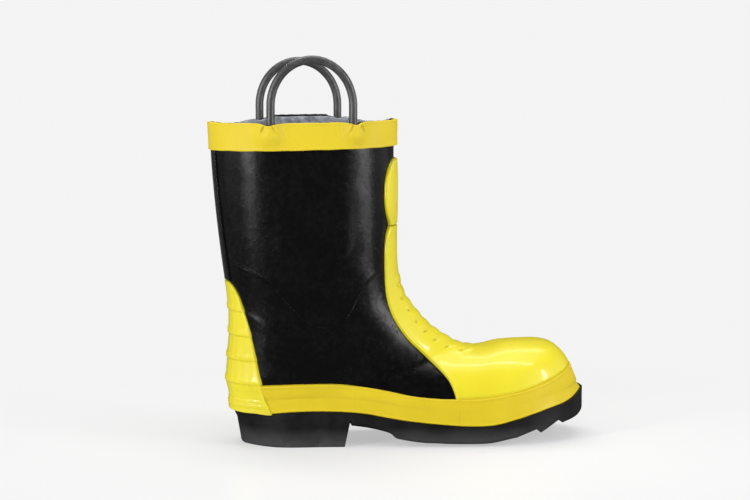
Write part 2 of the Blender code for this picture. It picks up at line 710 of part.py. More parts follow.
def build_bottom_plates(paint):
    """Steel sole plate, insole board and footbed, one above the other."""
    plates = (
        ("puncture_plate", 10.2, 18.5, PLATE_DEPTH, paint["steel"]),
        ("insole_board", 10.3, 18.5, BOARD_DEPTH, paint["fibreboard"]),
        ("footbed", 10.9, 18.0, FOOTBED_DEPTH, paint["footbed"]),
    )
    for name, start, end, depths, material in plates:
        rows = rows_between(start, end)
        depth_patch(name, rows, bottom_spans(rows, PLATE_REACH), depths, material, 7)


# --- sole ---------------------------------------------------------------------------------------


def sole_outline(x, lip):
    """The sole's y on both sides at x: the wall of the foot pushed out by lip, to a rounded tip."""
    centre, turn = 90.0, 5.0
    fan = wall_points(fan_rays(centre, -90, 90, 61, turn), FOXING_BOTTOM, lip)
    stretch = (SOLE_TIP_X - centre) / (fan[:, 0].max() - centre)
    front = centre + (fan[:, 0] - centre) * stretch
    half = len(fan) // 2
    tip_low = np.interp(x, front[: half + 1], fan[: half + 1, 1])
    tip_high = np.interp(x, front[half:][::-1], fan[half:, 1][::-1])
    inside = np.minimum(x, centre)
    sides = []
    for side in (-1.0, 1.0):
        rays = [(a, 0.0, 0.0, side) for a in np.linspace(-134.0, centre, 40)]
        line = wall_points(rays, FOXING_BOTTOM, lip)
        sides.append(np.interp(inside, line[:, 0], line[:, 1]))
    return np.where(x < centre, sides[0], tip_low), np.where(x < centre, sides[1], tip_high)


def sole_ring(x, low, high, top, bottom, bevel, lean=0.0):
    """A cross-section of the sole: level top, slightly drawn-in sides and bevelled lower edges.

    The bottom lies lean behind the top, so that an end face can slope.
    """
    waist, middle = (top + bottom) / 2, (low + high) / 2
    pull = min(bevel, (high - low) * 0.2)
    under = x - lean
    return [
        (x, low, top), (x - lean / 2, low, waist), (under, low + 0.3 * pull, bottom + pull * 0.8),
        (under, low + pull, bottom), (under, middle, bottom), (under, high - pull, bottom),
        (under, high - 0.3 * pull, bottom + pull * 0.8), (x - lean / 2, high, waist),
        (x, high, top), (x, middle, top),
    ]


def heel_round(x, back):
    """How much of the heel's width is left at x, in front of its half-round back."""
    radius = 39.0
    near = min(max((back + radius - x) / radius, 0.0), 0.999)
    return math.sqrt(1 - near * near)


def groove(x, depth, line):
    """Four places along the sole that make one cross groove in a side-view underside line."""
    return [
        (x - 2.4, line_at(line, x - 2.4)), (x - 1.6, line_at(line, x) + depth),
        (x + 1.6, line_at(line, x) + depth), (x + 2.4, line_at(line, x + 2.4)),
    ]


def build_outsole(paint):
    """Sole layer from heel seat to toe, with cross grooves in the tread of the forefoot."""
    seat = (-137.6, -136.4, -133.0, -126.0, -112.0, -90.0, -70.0, HEEL_BREAST_X)
    places = [(x, line_at(FOXING_BOTTOM, x) - HEEL_SEAT) for x in seat]
    places += [(x, line_at(SOLE_UNDER, x)) for x in (HEEL_BREAST_X + 2.0, -34.0, -22.0, -8.0)]
    for x in GROOVES:
        places += groove(x, 3.0, SOLE_UNDER)
    places += [(x, line_at(SOLE_UNDER, x)) for x in (141, 148, 154, 158.5, 161.5, 163.4, 164.3)]
    x = np.array([p[0] for p in places], float)
    low, high = sole_outline(x, GAP + FOXING + 1.2)
    rings = []
    for i, (place, bottom) in enumerate(places):
        share = heel_round(place, -138.0)
        top = line_at(FOXING_BOTTOM, place) - SOLE_TOP_GAP
        rings.append(sole_ring(place, low[i] * share, high[i] * share, top, bottom, 3.0))
    return loft_solid("outsole", rings, paint["sole_rubber"])


def build_heel_block(paint):
    """The heel: drawn in below the guard, with shallow cross grooves in its tread."""
    ground = ((-200.0, 0.0), (200.0, 0.0))
    places = [(-137.4, 3.0, 0.0), (-136.2, 1.0, 0.0), (-132.0, 0.0, 0.0), (-126.0, 0.0, 0.0)]
    for x in (-116.0, -100.5, -85.0, -69.5):
        places += [(*p, 0.0) for p in groove(x, 2.6, ground)]
    places += [(-58.0, 0.0, 0.0), (HEEL_BREAST_X, 0.0, 3.2)]
    x = np.array([p[0] for p in places])
    low, high = sole_outline(x, 0.0)
    rings = []
    for i, (place, bottom, lean) in enumerate(places):
        share = heel_round(place, -137.6)
        top = line_at(FOXING_BOTTOM, place) - HEEL_SEAT - SOLE_TOP_GAP
        ring = sole_ring(place, low[i] * share, high[i] * share, top, bottom, 2.0, lean)
        rings.append(ring)
    return loft_solid("heel_block", rings, paint["sole_rubber"])


# --- pull handles -------------------------------------------------------------------------------


def tube_rings(path, radii, sides=8):
    """Rings round a path in the XZ plane."""
    path = np.asarray(path, float)
    run = unit(np.gradient(path, axis=0))
    rings = []
    for point, forward, radius in zip(path, run, radii):
        beside = np.cross(forward, (0, 1, 0))
        ring = []
        for k in range(sides):
            a = 2 * math.pi * k / sides
            ring.append(point + radius * (math.cos(a) * beside + math.sin(a) * np.array((0, 1, 0))))
        rings.append(ring)
    return rings


def handle_path():
    """One loop about its hinge axis: round leg ends on the axis, straight legs and an arch."""
    rise = HANDLE_TOP - HINGE_Z - HANDLE_HALF
    ends = [(-math.cos(a) * HANDLE_TUBE, math.sin(a)) for a in np.radians((8, 30, 60, 90))]
    left = [((-HANDLE_HALF, 0, low), share * HANDLE_TUBE) for low, share in ends]
    arch = [
        ((-HANDLE_HALF * math.cos(a), 0, rise + HANDLE_HALF * math.sin(a)), HANDLE_TUBE)
        for a in np.radians(np.linspace(0, 180, 15))
    ]
    right = [((-p[0], 0, p[2]), r) for p, r in reversed(left)]
    points, radii = zip(*(left + arch + right))
    return points, radii


def build_handles(paint):
    points, radii = handle_path()
    for side, label in ((-1, "lateral"), (1, "medial")):
        axis = bpy.data.objects.new(f"hinge_{label}", None)
        axis.location = (HANDLE_X * MM, side * HANDLE_Y * MM, HINGE_Z * MM)
        bpy.context.collection.objects.link(axis)
        rings = tube_rings(points, radii)
        loft_solid(f"pull_handle_{label}", rings, paint["handle_rubber"], parent=axis)
        for end, where in ((-1, "back"), (1, "front")):
            root = tube_rings([(0, 0, ROOT_BOTTOM - ROOT_TOP), (0, 0, 0)], [HANDLE_TUBE] * 2)
            place = ((HANDLE_X + end * HANDLE_HALF) * MM, side * HANDLE_Y * MM, ROOT_TOP * MM)
            name = f"handle_root_{label}_{where}"
            loft_solid(name, root, paint["handle_rubber"], location=place)


# --- the boot -----------------------------------------------------------------------------------


def paints():
    return {
        "black_rubber": principled("black_rubber", (0.012, 0.012, 0.013), 0.45),
        "handle_rubber": principled("handle_rubber", (0.015, 0.015, 0.016), 0.4),
        "sole_rubber": principled("sole_rubber", (0.016, 0.016, 0.016), 0.6),
        "yellow_rubber": principled("yellow_rubber", (0.82, 0.68, 0.035), 0.35),
        "yellow_foxing": principled("yellow_foxing", (0.70, 0.54, 0.025), 0.45),
        "yellow_band": principled("yellow_band", (0.76, 0.58, 0.03), 0.6),
        "felt": principled("felt", (0.16, 0.17, 0.19), 0.95),
        "footbed": principled("footbed", (0.05, 0.05, 0.06), 0.9),
        "canvas": principled("canvas", (0.3, 0.28, 0.24), 0.9),
        "foam": principled("foam", (0.5, 0.48, 0.44), 0.9),
        "fibreboard": principled("fibreboard", (0.35, 0.24, 0.14), 0.8),
        "steel": principled("steel", (0.55, 0.56, 0.58), 0.35, 1.0),
    }


def main():
    clear_scene()
    paint = paints()
    build_shell(paint)
    build_lining(paint)
    build_rim_bead(paint)
    build_collar_band(paint)
    build_shin_guard(paint)
    build_instep_cover(paint)
    build_back_strip(paint)
    build_heel_guard(paint)
    build_foxing(paint)
    build_toe_cap(paint)
    build_heel_counter(paint)
    build_ankle_layers(paint)
    build_bottom_plates(paint)
    build_outsole(paint)
    build_heel_block(paint)
    build_handles(paint)


main()
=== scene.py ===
"""Looks of the rubber fire boot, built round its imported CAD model.

Lengths in the tables are millimetres in the frame's axes: +X to the toe, +Y to the medial side and
+Z up. The upper is one lofted surface, as in the CAD: each section is a plane that holds the Y
direction and runs from a front point to a back point. The rubber pieces are sheets laid on it,
each given by its edge, its thickness and the relief moulded into it.
"""

import json
import math

import bpy
import numpy as np
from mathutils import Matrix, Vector


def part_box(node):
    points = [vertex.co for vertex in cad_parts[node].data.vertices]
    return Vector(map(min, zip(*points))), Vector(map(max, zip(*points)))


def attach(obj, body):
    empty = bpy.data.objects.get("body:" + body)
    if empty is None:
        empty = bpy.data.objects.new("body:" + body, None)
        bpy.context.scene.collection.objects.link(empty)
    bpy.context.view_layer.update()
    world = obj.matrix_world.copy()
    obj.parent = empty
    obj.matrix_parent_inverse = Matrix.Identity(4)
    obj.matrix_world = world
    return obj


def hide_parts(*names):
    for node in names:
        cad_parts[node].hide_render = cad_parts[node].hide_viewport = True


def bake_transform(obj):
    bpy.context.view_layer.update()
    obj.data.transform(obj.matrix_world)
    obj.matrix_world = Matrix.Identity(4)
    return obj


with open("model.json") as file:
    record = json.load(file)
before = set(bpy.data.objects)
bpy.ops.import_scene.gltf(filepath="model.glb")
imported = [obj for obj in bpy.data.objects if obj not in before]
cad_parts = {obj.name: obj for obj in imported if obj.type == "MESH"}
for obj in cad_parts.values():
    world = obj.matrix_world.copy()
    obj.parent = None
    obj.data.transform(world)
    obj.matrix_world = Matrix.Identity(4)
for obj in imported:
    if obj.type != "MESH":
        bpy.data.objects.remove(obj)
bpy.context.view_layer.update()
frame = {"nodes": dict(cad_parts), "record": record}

MM = 0.001

# Camera and stage, in metres and degrees
CAMERA_AZIMUTH, CAMERA_ELEVATION = -7.5, 6.0
CAMERA_DISTANCE, CAMERA_LENS = 1.9, 105.3
CAMERA_TARGET = Vector((-0.02085, 0.0, 0.1646))
BACKDROP = 0.9

# Thicknesses, how far the yellow pieces stand out, and how far every sheet is sunk into the upper
SHELL = 3.0
LINING = 3.0
PROUD = 3.2
SINK = -0.3
SHAFT_MIDDLE = (-82.0, 0.0)

# Sections from the rim to the tip of the toe:
# front x, front z, back x, back z, lateral, medial, centre y, widest point, front and back squareness
SECTIONS = np.array([
    (-5.4, 277.6, -161.9, 277.6, 57.0, 57.0, 0.0, 0.50, 2.3, 2.3),
    (-5.4, 245.0, -160.4, 245.0, 55.5, 55.5, 0.0, 0.50, 2.3, 2.3),
    (-5.4, 205.0, -157.2, 205.0, 53.0, 53.0, 0.0, 0.50, 2.3, 2.3),
    (-5.5, 170.0, -153.1, 168.0, 50.0, 50.0, 0.0, 0.50, 2.3, 2.3),
    (-4.2, 147.0, -149.8, 143.0, 47.5, 47.0, 0.0, 0.50, 2.3, 2.3),
    (0.5, 128.0, -146.2, 118.0, 45.0, 44.0, 0.0, 0.48, 2.3, 2.3),
    (8.5, 115.5, -145.0, 94.0, 43.5, 42.0, 0.0, 0.46, 2.3, 2.3),
    (18.0, 104.0, -146.3, 72.0, 42.0, 40.5, 0.0, 0.44, 2.3, 2.3),
    (27.0, 95.0, -146.4, 52.0, 41.0, 39.5, 0.0, 0.42, 2.3, 2.4),
    (35.0, 89.5, -143.0, 40.0, 40.5, 39.0, 0.0, 0.42, 2.3, 2.5),
    (42.0, 85.0, -134.0, 34.2, 40.0, 38.5, 0.0, 0.42, 2.3, 2.7),
    (50.0, 80.5, -112.0, 33.4, 39.5, 38.0, 0.0, 0.42, 2.3, 2.9),
    (58.0, 78.0, -75.0, 34.4, 41.0, 38.0, 0.0, 0.40, 2.3, 3.2),
    (67.0, 77.0, -40.0, 33.0, 44.0, 39.0, 0.0, 0.37, 2.2, 3.5),
    (78.0, 78.0, -8.0, 27.0, 48.0, 43.0, 0.5, 0.33, 2.2, 4.0),
    (92.0, 81.0, 30.0, 20.8, 52.0, 48.5, 1.0, 0.29, 2.2, 4.0),
    (108.0, 81.6, 68.0, 18.0, 54.0, 51.5, 2.0, 0.28, 2.2, 4.0),
    (122.0, 81.1, 98.0, 19.5, 52.0, 51.0, 4.0, 0.30, 2.3, 4.0),
    (133.0, 78.7, 120.0, 26.2, 47.0, 47.0, 6.0, 0.34, 2.3, 3.6),
    (142.0, 72.0, 136.0, 33.2, 38.5, 39.0, 8.0, 0.40, 2.3, 3.0),
    (149.8, 59.8, 147.0, 40.6, 25.0, 26.0, 9.0, 0.45, 2.2, 2.4),
    (154.0, 49.5, 153.5, 45.0, 10.5, 11.0, 10.0, 0.50, 2.0, 2.0),
    (154.8, 47.6, 154.8, 47.0, 1.5, 1.5, 10.0, 0.50, 2.0, 2.0),
])
TIP = len(SECTIONS) - 1

# Edges of the pieces seen from the side, as (x, z)
FOXING_TOP = (
    (-124.0, 53.4), (-107.8, 54.4), (-82.3, 55.0), (-56.8, 54.3), (-34.4, 51.2), (-13.8, 47.4),
    (6.8, 43.3), (29.2, 41.2), (48.2, 40.9), (65.8, 41.4), (83.2, 43.6), (100.8, 46.8),
    (118.2, 51.9), (135.9, 59.0), (146.5, 62.6), (160.0, 61.5),
)
FOXING_BOTTOM = (
    (-150.0, 29.6), (-138.0, 28.8), (-126.0, 28.8), (-115.8, 29.3), (-89.4, 31.0), (-56.8, 30.5),
    (-34.8, 28.5), (-13.8, 24.6), (6.6, 21.6), (27.2, 19.4), (55.0, 17.4), (75.0, 18.0),
    (95.0, 22.2), (109.5, 26.2), (124.4, 30.3), (141.2, 33.9), (151.0, 36.9), (158.0, 39.4),
    (165.0, 41.6),
)
GUARD_FRONT = (
    (-148.4, 141.6), (-146.4, 139.8), (-143.8, 136.4), (-140.0, 129.6), (-136.6, 119.6),
    (-132.7, 106.0), (-129.9, 92.9), (-126.5, 75.1), (-122.6, 54.2), (-118.4, 40.5),
    (-113.2, 27.5),
)
COVER_BACK = (
    (-13.0, 191.0), (-13.8, 187.0), (-15.6, 181.0), (-16.8, 172.0), (-17.0, 156.0), (-16.4, 140.0),
    (-14.7, 126.0), (-10.8, 112.6), (-4.7, 101.5), (4.6, 89.0), (15.6, 78.4), (30.9, 63.3),
    (36.6, 56.2), (39.7, 49.5), (41.6, 43.4), (43.4, 35.0),
)
SHIN_EDGE = (
    (-4.0, 246.0), (-9.0, 244.0), (-13.5, 238.0), (-16.6, 228.0), (-17.5, 215.0),
    (-16.8, 204.0), (-15.2, 196.5), (-13.4, 191.0), (-13.0, 186.0),
)
SOLE_UNDER = (
    (-46.0, 18.6), (-34.0, 17.0), (-22.0, 14.4), (-13.0, 11.4), (-9.0, 7.8), (-4.0, 6.2),
    (15.7, 1.6), (30.0, 0.4), (40.0, 0.0), (70.0, 0.0), (80.0, 1.4), (92.3, 4.0), (104.0, 6.8),
    (116.5, 9.7), (127.0, 13.2), (137.5, 16.3), (146.0, 17.6), (151.5, 18.4), (158.0, 19.6),
    (162.0, 21.6), (164.4, 28.0),
)
WALL_TURN = ((-150.0, 12.0), (105.0, 12.0), (125.0, 10.5), (140.0, 9.5), (152.0, 8.2), (165.0, 6.0))

# Edges of the hidden plies that show through the rubber of the shaft
PLY_EDGE = (
    (-152.0, 160.6), (-133.8, 152.5), (-117.8, 143.5), (-108.5, 133.4), (-99.1, 122.6),
    (-86.1, 109.2), (-77.7, 104.9), (-68.2, 103.5), (-61.0, 104.9), (-52.5, 109.7),
    (-46.5, 117.9), (-40.4, 129.8), (-31.7, 143.7), (-19.0, 155.0),
)
PAD_EDGE = (
    (-116.0, 176.0), (-109.0, 168.5), (-101.7, 160.0), (-92.3, 151.0), (-76.8, 146.0),
    (-62.6, 149.9), (-56.6, 155.7), (-50.0, 163.5), (-42.0, 176.0),
)
COUNTER_EDGE = (
    (-146.0, 121.0), (-134.7, 115.1), (-120.0, 106.4), (-108.4, 95.9), (-94.3, 87.5),
    (-68.0, 79.8),
)

# The heel guard: its ends, where its foot starts to follow the sole, where its wall stands upright,
# and how far its surface stands out at each height
GUARD_LOW, GUARD_FOOT, GUARD_UPRIGHT, GUARD_TOP = 27.6, 42.0, 47.0, 140.8
GUARD_RELIEF = (
    (27.6, 3.2), (33.0, 3.4), (34.0, 4.0), (36.0, 4.0), (37.2, 3.2), (39.6, 3.3), (41.0, 2.7),
    (53.6, 4.1), (54.8, 5.1), (57.2, 5.1), (60.0, 4.2), (73.9, 3.2), (74.9, 4.3), (77.8, 4.3),
    (80.4, 3.5), (94.7, 2.8), (95.7, 3.9), (98.6, 3.8), (101.2, 3.0), (115.6, 2.0), (116.6, 3.1),
    (119.6, 3.0), (122.2, 2.2), (135.0, 1.7), (138.0, 1.8), (140.8, 1.5),
)


# --- the surface of the upper -------------------------------------------------------------------


def smooth_table(values, at):
    """Rows of values at fractional row numbers, by monotone cubic interpolation."""
    step = np.diff(values, axis=0)
    same = step[:-1] * step[1:] > 0
    mean = 2 * step[:-1] * step[1:] / np.where(same, step[:-1] + step[1:], 1)
    slope = np.vstack([step[:1], np.where(same, mean, 0), step[-1:]])
    row = np.clip(np.floor(at).astype(int), 0, len(values) - 2)
    f = (at - row)[:, None]
    low, high = values[row], values[row + 1]
    return (
        low * (1 + 2 * f) * (1 - f) ** 2 + high * f * f * (3 - 2 * f)
        + slope[row] * f * (1 - f) ** 2 - slope[row + 1] * f * f * (1 - f)
    )


def fair(table, t):
    """Evens out the curvature of the shaft and instep, and leaves the toe as it is."""
    reach = 60
    ends = [2 * table[0] - table[reach:0:-1], table, 2 * table[-1] - table[-2:-reach - 2:-1]]
    padded = np.vstack(ends)
    weight = np.exp(-np.linspace(-2.4, 2.4, 2 * reach + 1) ** 2 / 2)
    weight /= weight.sum()
    smooth = np.column_stack([np.convolve(c, weight, mode="valid") for c in padded.T])
    share = np.clip((17 - t) / 4, 0, 1)[:, None]
    return table * (1 - share) + smooth * share


def unit(vectors):
    return vectors / np.maximum(np.linalg.norm(vectors, axis=-1, keepdims=True), 1e-9)


def smoothstep(value):
    value = np.clip(value, 0, 1)
    return value * value * (3 - 2 * value)


class Skin:
    """The surface of the upper, moved inwards by (front, back, side) depths in millimetres."""

    def __init__(self, *depths):
        if len(depths) == 1:
            depths = depths * 3
        self.t = np.linspace(0, TIP, TIP * 120 + 1)
        table = fair(smooth_table(SECTIONS, self.t), self.t)
        front, back = table[:, 0:2], table[:, 2:4]
        along = unit(front - back)
        depth = [np.interp(self.t, *d) if isinstance(d, tuple) else d + 0 * self.t for d in depths]
        middle = back + (front - back) * table[:, 7:8]
        across = np.column_stack([along[:, 1], -along[:, 0]])
        travel = np.abs(np.sum(np.gradient(middle, axis=0) * across, axis=1))
        grow = np.sqrt(1 + (np.gradient(table[:, 4:6], axis=0) / travel[:, None]) ** 2)
        self.front = front - along * (depth[0] / self.tilt(front, -along))[:, None]
        self.back = back + along * (depth[1] / self.tilt(back, along))[:, None]
        self.lateral = table[:, 4] - depth[2] * grow[:, 0]
        self.medial = table[:, 5] - depth[2] * grow[:, 1]
        self.centre, self.widest, self.n_front, self.n_back = table[:, 6:10].T
        room = np.minimum(np.sum((self.front - self.back) * along, axis=1), self.lateral)
        short = np.nonzero(room < 0.6)[0]
        self.end = self.t[short[0] - 1] if len(short) else self.t[-1]

    @staticmethod
    def tilt(line, inwards):
        """How squarely each section meets the profile line, from 0.3 to 1."""
        run = unit(np.gradient(line, axis=0))
        normal = np.column_stack([run[:, 1], -run[:, 0]])
        return np.maximum(np.abs(np.sum(normal * inwards, axis=1)), 0.3)

    def read(self, values, t):
        if values.ndim == 1:
            return np.interp(t, self.t, values)
        return np.stack([np.interp(t, self.t, v) for v in values.T], axis=-1)

    def at(self, t, angle):
        """Points at section t and angle, which is 0 at the front and pi/2 on the medial side."""
        t, angle = np.broadcast_arrays(np.asarray(t, float), np.asarray(angle, float))
        c, s = np.cos(angle), np.sin(angle)
        n = np.where(c > 0, self.read(self.n_front, t), self.read(self.n_back, t))
        widest = self.read(self.widest, t)
        reach = np.abs(c) ** (2 / n) * np.where(c > 0, 1 - widest, -widest)
        back = self.read(self.back, t)
        place = back + (widest + reach)[..., None] * (self.read(self.front, t) - back)
        half = np.where(s > 0, self.read(self.medial, t), -self.read(self.lateral, t))
        y = self.read(self.centre, t) + half * np.abs(s) ** (2 / n)
        return np.stack([place[..., 0], y, place[..., 1]], axis=-1)

    def locate(self, x, z):
        """The section through each side-view point, and how far from back (0) to front (1) it is."""
        low, high = np.zeros_like(x), np.full_like(x, TIP)
        for _ in range(19):
            mid = (low + high) / 2
            back = self.read(self.back, mid)
            run = self.read(self.front, mid) - back
            over = run[..., 0] * (z - back[..., 1]) - run[..., 1] * (x - back[..., 0])
            low, high = np.where(over < 0, mid, low), np.where(over < 0, high, mid)
        back = self.read(self.back, low)
        run = self.read(self.front, low) - back
        share = (x - back[..., 0]) * run[..., 0] + (z - back[..., 1]) * run[..., 1]
        return low, share / np.maximum(np.sum(run * run, axis=-1), 1e-9)

    def across(self, t, share):
        """For points this share of the way from back to front: whether they lie in front of the
        widest point, how far they are from it towards the end, and the squareness there."""
        widest = self.read(self.widest, t)
        front = share > widest
        reach = np.where(front, (share - widest) / (1 - widest), (widest - share) / widest)
        return front, reach, np.where(front, self.read(self.n_front, t), self.read(self.n_back, t))

    def sides(self, x, z):
        """The lateral and medial y of the surface at side-view points, or NaN outside it."""
        x, z = np.broadcast_arrays(np.asarray(x, float), np.asarray(z, float))
        t, share = self.locate(x, z)
        _, reach, n = self.across(t, share)
        width = np.where(reach < 1, np.maximum(1 - np.abs(reach) ** n, 0) ** (1 / n), np.nan)
        centre = self.read(self.centre, t)
        return centre - self.read(self.lateral, t) * width, centre + self.read(self.medial, t) * width

    def edge_angle(self, t, edge):
        """The angle, 0 to pi, at which section t crosses a side-view edge; NaN where it misses."""
        back, front = self.read(self.back, t), self.read(self.front, t)
        run = front - back
        over = run[0] * (edge[:, 1] - back[1]) - run[1] * (edge[:, 0] - back[0])
        for i in np.nonzero(over[:-1] * over[1:] <= 0)[0]:
            f = over[i] / (over[i] - over[i + 1]) if over[i] != over[i + 1] else 0
            point = edge[i] + f * (edge[i + 1] - edge[i])
            share = np.dot(point - back, run) / np.dot(run, run)
            if -0.02 <= share <= 1.02:
                return max(self.share_angle(t, share), 0.03)
        return math.nan

    def share_angle(self, t, share):
        """The angle of points that are this share of the way from back to front."""
        front, reach, n = self.across(t, share)
        turn = np.arccos(np.clip(reach, 0, 1) ** (n / 2))
        return np.where(front, turn, math.pi - turn)

    def level(self, z):
        """The section at a height in the shaft, where the sections are level."""
        shaft = self.t < 2.6
        return np.interp(-z, -self.front[shaft, 1], self.t[shaft])


OUTER = Skin(0.0)


def line_at(line, x):
    """The z of a side-view line at x."""
    return np.interp(x, *np.transpose(line))


def curve_through(points, steps=12):
    """A smooth curve through points, by centripetal-like cubic pieces."""
    p = np.asarray(points, float)
    gap = np.linalg.norm(np.diff(p, axis=0), axis=1) ** 0.5
    knot = np.concatenate([[0], np.cumsum(gap)])
    slope = np.gradient(p, knot, axis=0)
    made = []
    for i in range(len(p) - 1):
        f = np.linspace(0, 1, steps, endpoint=False)[:, None]
        made.append(
            p[i] * (1 + 2 * f) * (1 - f) ** 2 + p[i + 1] * f * f * (3 - 2 * f)
            + gap[i] * (slope[i] * f * (1 - f) ** 2 - slope[i + 1] * f * f * (1 - f))
        )
    return np.vstack([*made, p[-1:]])


def segment_distance(points, line):
    """The distance of each point to a polyline, in two or three dimensions."""
    start, run = line[:-1], np.diff(line, axis=0)
    length = np.maximum(np.sum(run * run, axis=1), 1e-12)
    made = []
    for part in np.array_split(points, max(1, len(points) * len(line) // 1_500_000)):
        to = part[:, None, :] - start[None]
        f = np.clip(np.einsum("ijk,jk->ij", to, run) / length, 0, 1)
        to -= f[..., None] * run
        made.append(np.sqrt(np.min(np.einsum("ijk,ijk->ij", to, to), axis=1)))
    return np.concatenate(made)


# --- meshes -------------------------------------------------------------------------------------


def add_object(name, data):
    obj = bpy.data.objects.new(name, data)
    bpy.context.collection.objects.link(obj)
    return obj


def mesh_piece(name, points, faces, corners, material, sharp=50):
    """An object in metres from points in millimetres; corners are the surface distances as UVs."""
    volume = 0.0
    for count in (3, 4):
        group = np.array([f for f in faces if len(f) == count], int).reshape(-1, count)
        for i in range(1, count - 1):
            a, b, c = points[group[:, 0]], points[group[:, i]], points[group[:, i + 1]]
            volume += np.einsum("ij,ij->", a, np.cross(b, c))
    if volume < 0:
        faces = [face[::-1] for face in faces]
        corners = [corner[::-1] for corner in corners]
    mesh = bpy.data.meshes.new(name)
    mesh.from_pydata((points * MM).tolist(), [], faces)
    layer = mesh.uv_layers.new(name="Surface")
    layer.data.foreach_set("uv", np.vstack(corners).astype(np.float32).ravel() * MM)
    mesh.shade_smooth()
    mesh.set_sharp_from_angle(angle=math.radians(sharp))
    mesh.materials.append(material)
    return add_object(name, mesh)


def running_length(grid, axis):
    """Distance along one axis of a grid of points."""
    step = np.linalg.norm(np.diff(grid, axis=axis), axis=-1)
    zero = np.zeros_like(np.take(step, [0], axis=axis))
    return np.cumsum(np.concatenate([zero, step], axis=axis), axis=axis)


def loop_solid(name, grid, material, ends, sharp=50):
    """A closed piece from rows of points that each close on themselves.

    ends is "ring" where the last row joins the first, "pole" where each end closes in a point and
    "bridge" where the two halves of an end row are joined across.
    """
    rows, columns = grid.shape[:2]
    padded = np.concatenate([grid, grid[:, :1]], axis=1)
    if ends == "ring":
        padded = np.concatenate([padded, padded[:1]], axis=0)
    u = running_length(padded, 1)
    u -= u[:, columns // 2, None]
    v = np.broadcast_to(running_length(padded, 0).mean(axis=1)[:, None], u.shape)
    surface = np.stack([u, v], axis=-1)
    r, c = np.meshgrid(np.arange(len(padded) - 1), np.arange(columns), indexing="ij")
    around = [(r, c), (r, c + 1), (r + 1, c + 1), (r + 1, c)]
    faces = np.stack([(a % rows) * columns + b % columns for a, b in around], axis=-1)
    faces = faces.reshape(-1, 4).tolist()
    corners = list(np.stack([surface[a, b] for a, b in around], axis=-2).reshape(-1, 4, 2))
    points = grid.reshape(-1, 3)
    if ends == "pole":
        for row, turn in ((0, -1), (rows - 1, 1)):
            pole = len(points)
            points = np.vstack([points, grid[row].mean(axis=0)])
            for i in range(columns):
                pair = [row * columns + i, row * columns + (i + 1) % columns][::turn]
                faces.append([*pair, pole])
                corners.append(np.array([surface[row, i], surface[row, i + 1], surface[row, i]]))
    if ends == "bridge":
        for row, turn in ((0, -1), (rows - 1, 1)):
            for i in range(columns // 2 - 1):
                quad = [i, i + 1, columns - 2 - i, columns - 1 - i][::turn]
                faces.append([row * columns + k for k in quad])
                corners.append(surface[row, quad])
    return mesh_piece(name, points, faces, corners, material, sharp)


EDGE_STEPS = np.array([0.0, 0.1, 0.3, 0.6, 1.0, 1.5, 2.2, 3.2])


def edge_places(length, count):
    """Places along a length, crowded near both ends where the edge is rounded."""
    near = EDGE_STEPS * min(1.0, length / (4 * EDGE_STEPS[-1]))
    middle = np.linspace(near[-1], length - near[-1], count - 2 * len(near) + 2)[1:-1]
    return np.concatenate([near, middle, length - near[::-1]])


def even_rows(start, end, count, crowded=True):
    """Section numbers evenly spaced along the upper, with closer ones at both ends."""
    t = np.linspace(start, end, 900)
    front, back = OUTER.read(OUTER.front, t), OUTER.read(OUTER.back, t)
    travel = (running_length(front, 0) + running_length(back, 0)) / 2
    places = edge_places(travel[-1], count) if crowded else np.linspace(0, travel[-1], count)
    return np.interp(places, travel, t)


def fine_angles():
    """Angles round a section, closer together where a squarish section turns quickly."""
    quarter = smoothstep(np.linspace(0, 1, 161)[:-1]) * math.pi / 2
    return np.concatenate([quarter + k * math.pi / 2 for k in range(-2, 6)])


FINE = fine_angles()


def row_angles(t, start, end, count, closed=False):
    """Angles from start to end that are evenly spaced along section t."""
    angle = np.concatenate([[start], FINE[(FINE > start) & (FINE < end)], [end]])
    travel = running_length(OUTER.at(t, angle), 0)
    if closed:
        return np.interp(np.linspace(0, travel[-1], count + 1)[:-1], travel, angle)
    return np.interp(edge_places(travel[-1], count), travel, angle)


def grid_normals(grid, closed=False):
    """Outward normals of a grid on the upper, whose rows go down and columns go round."""
    if closed:
        wide = np.concatenate([grid[:, -1:], grid, grid[:, :1]], axis=1)
        around = wide[:, 2:] - wide[:, :-2]
    else:
        around = np.gradient(grid, axis=1)
    down = np.gradient(grid, axis=0)
    return unit(np.cross(down, around))


def level_normals(ring):
    """Level outward normals of a closed ring of points round the shaft."""
    wide = np.concatenate([ring[-1:], ring, ring[:1]])
    run = unit(wide[2:] - wide[:-2])
    out = np.column_stack([run[:, 1], -run[:, 0], 0 * run[:, 0]])
    return out * np.sign(np.sum(out[:, :2] * (ring[:, :2] - SHAFT_MIDDLE), axis=1))[:, None]


def rounded(distance, height, radius, roll=0.0):
    """The height of a sheet near its edge: a round edge, then a slightly raised rim."""
    rise = np.sqrt(np.clip(1 - (1 - np.clip(distance / radius, 0, 1)) ** 2, 0, 1))
    rim = roll * np.exp(-((distance - 1.4 * radius) / radius) ** 2)
    return SINK + (height - SINK) * rise + rim * rise


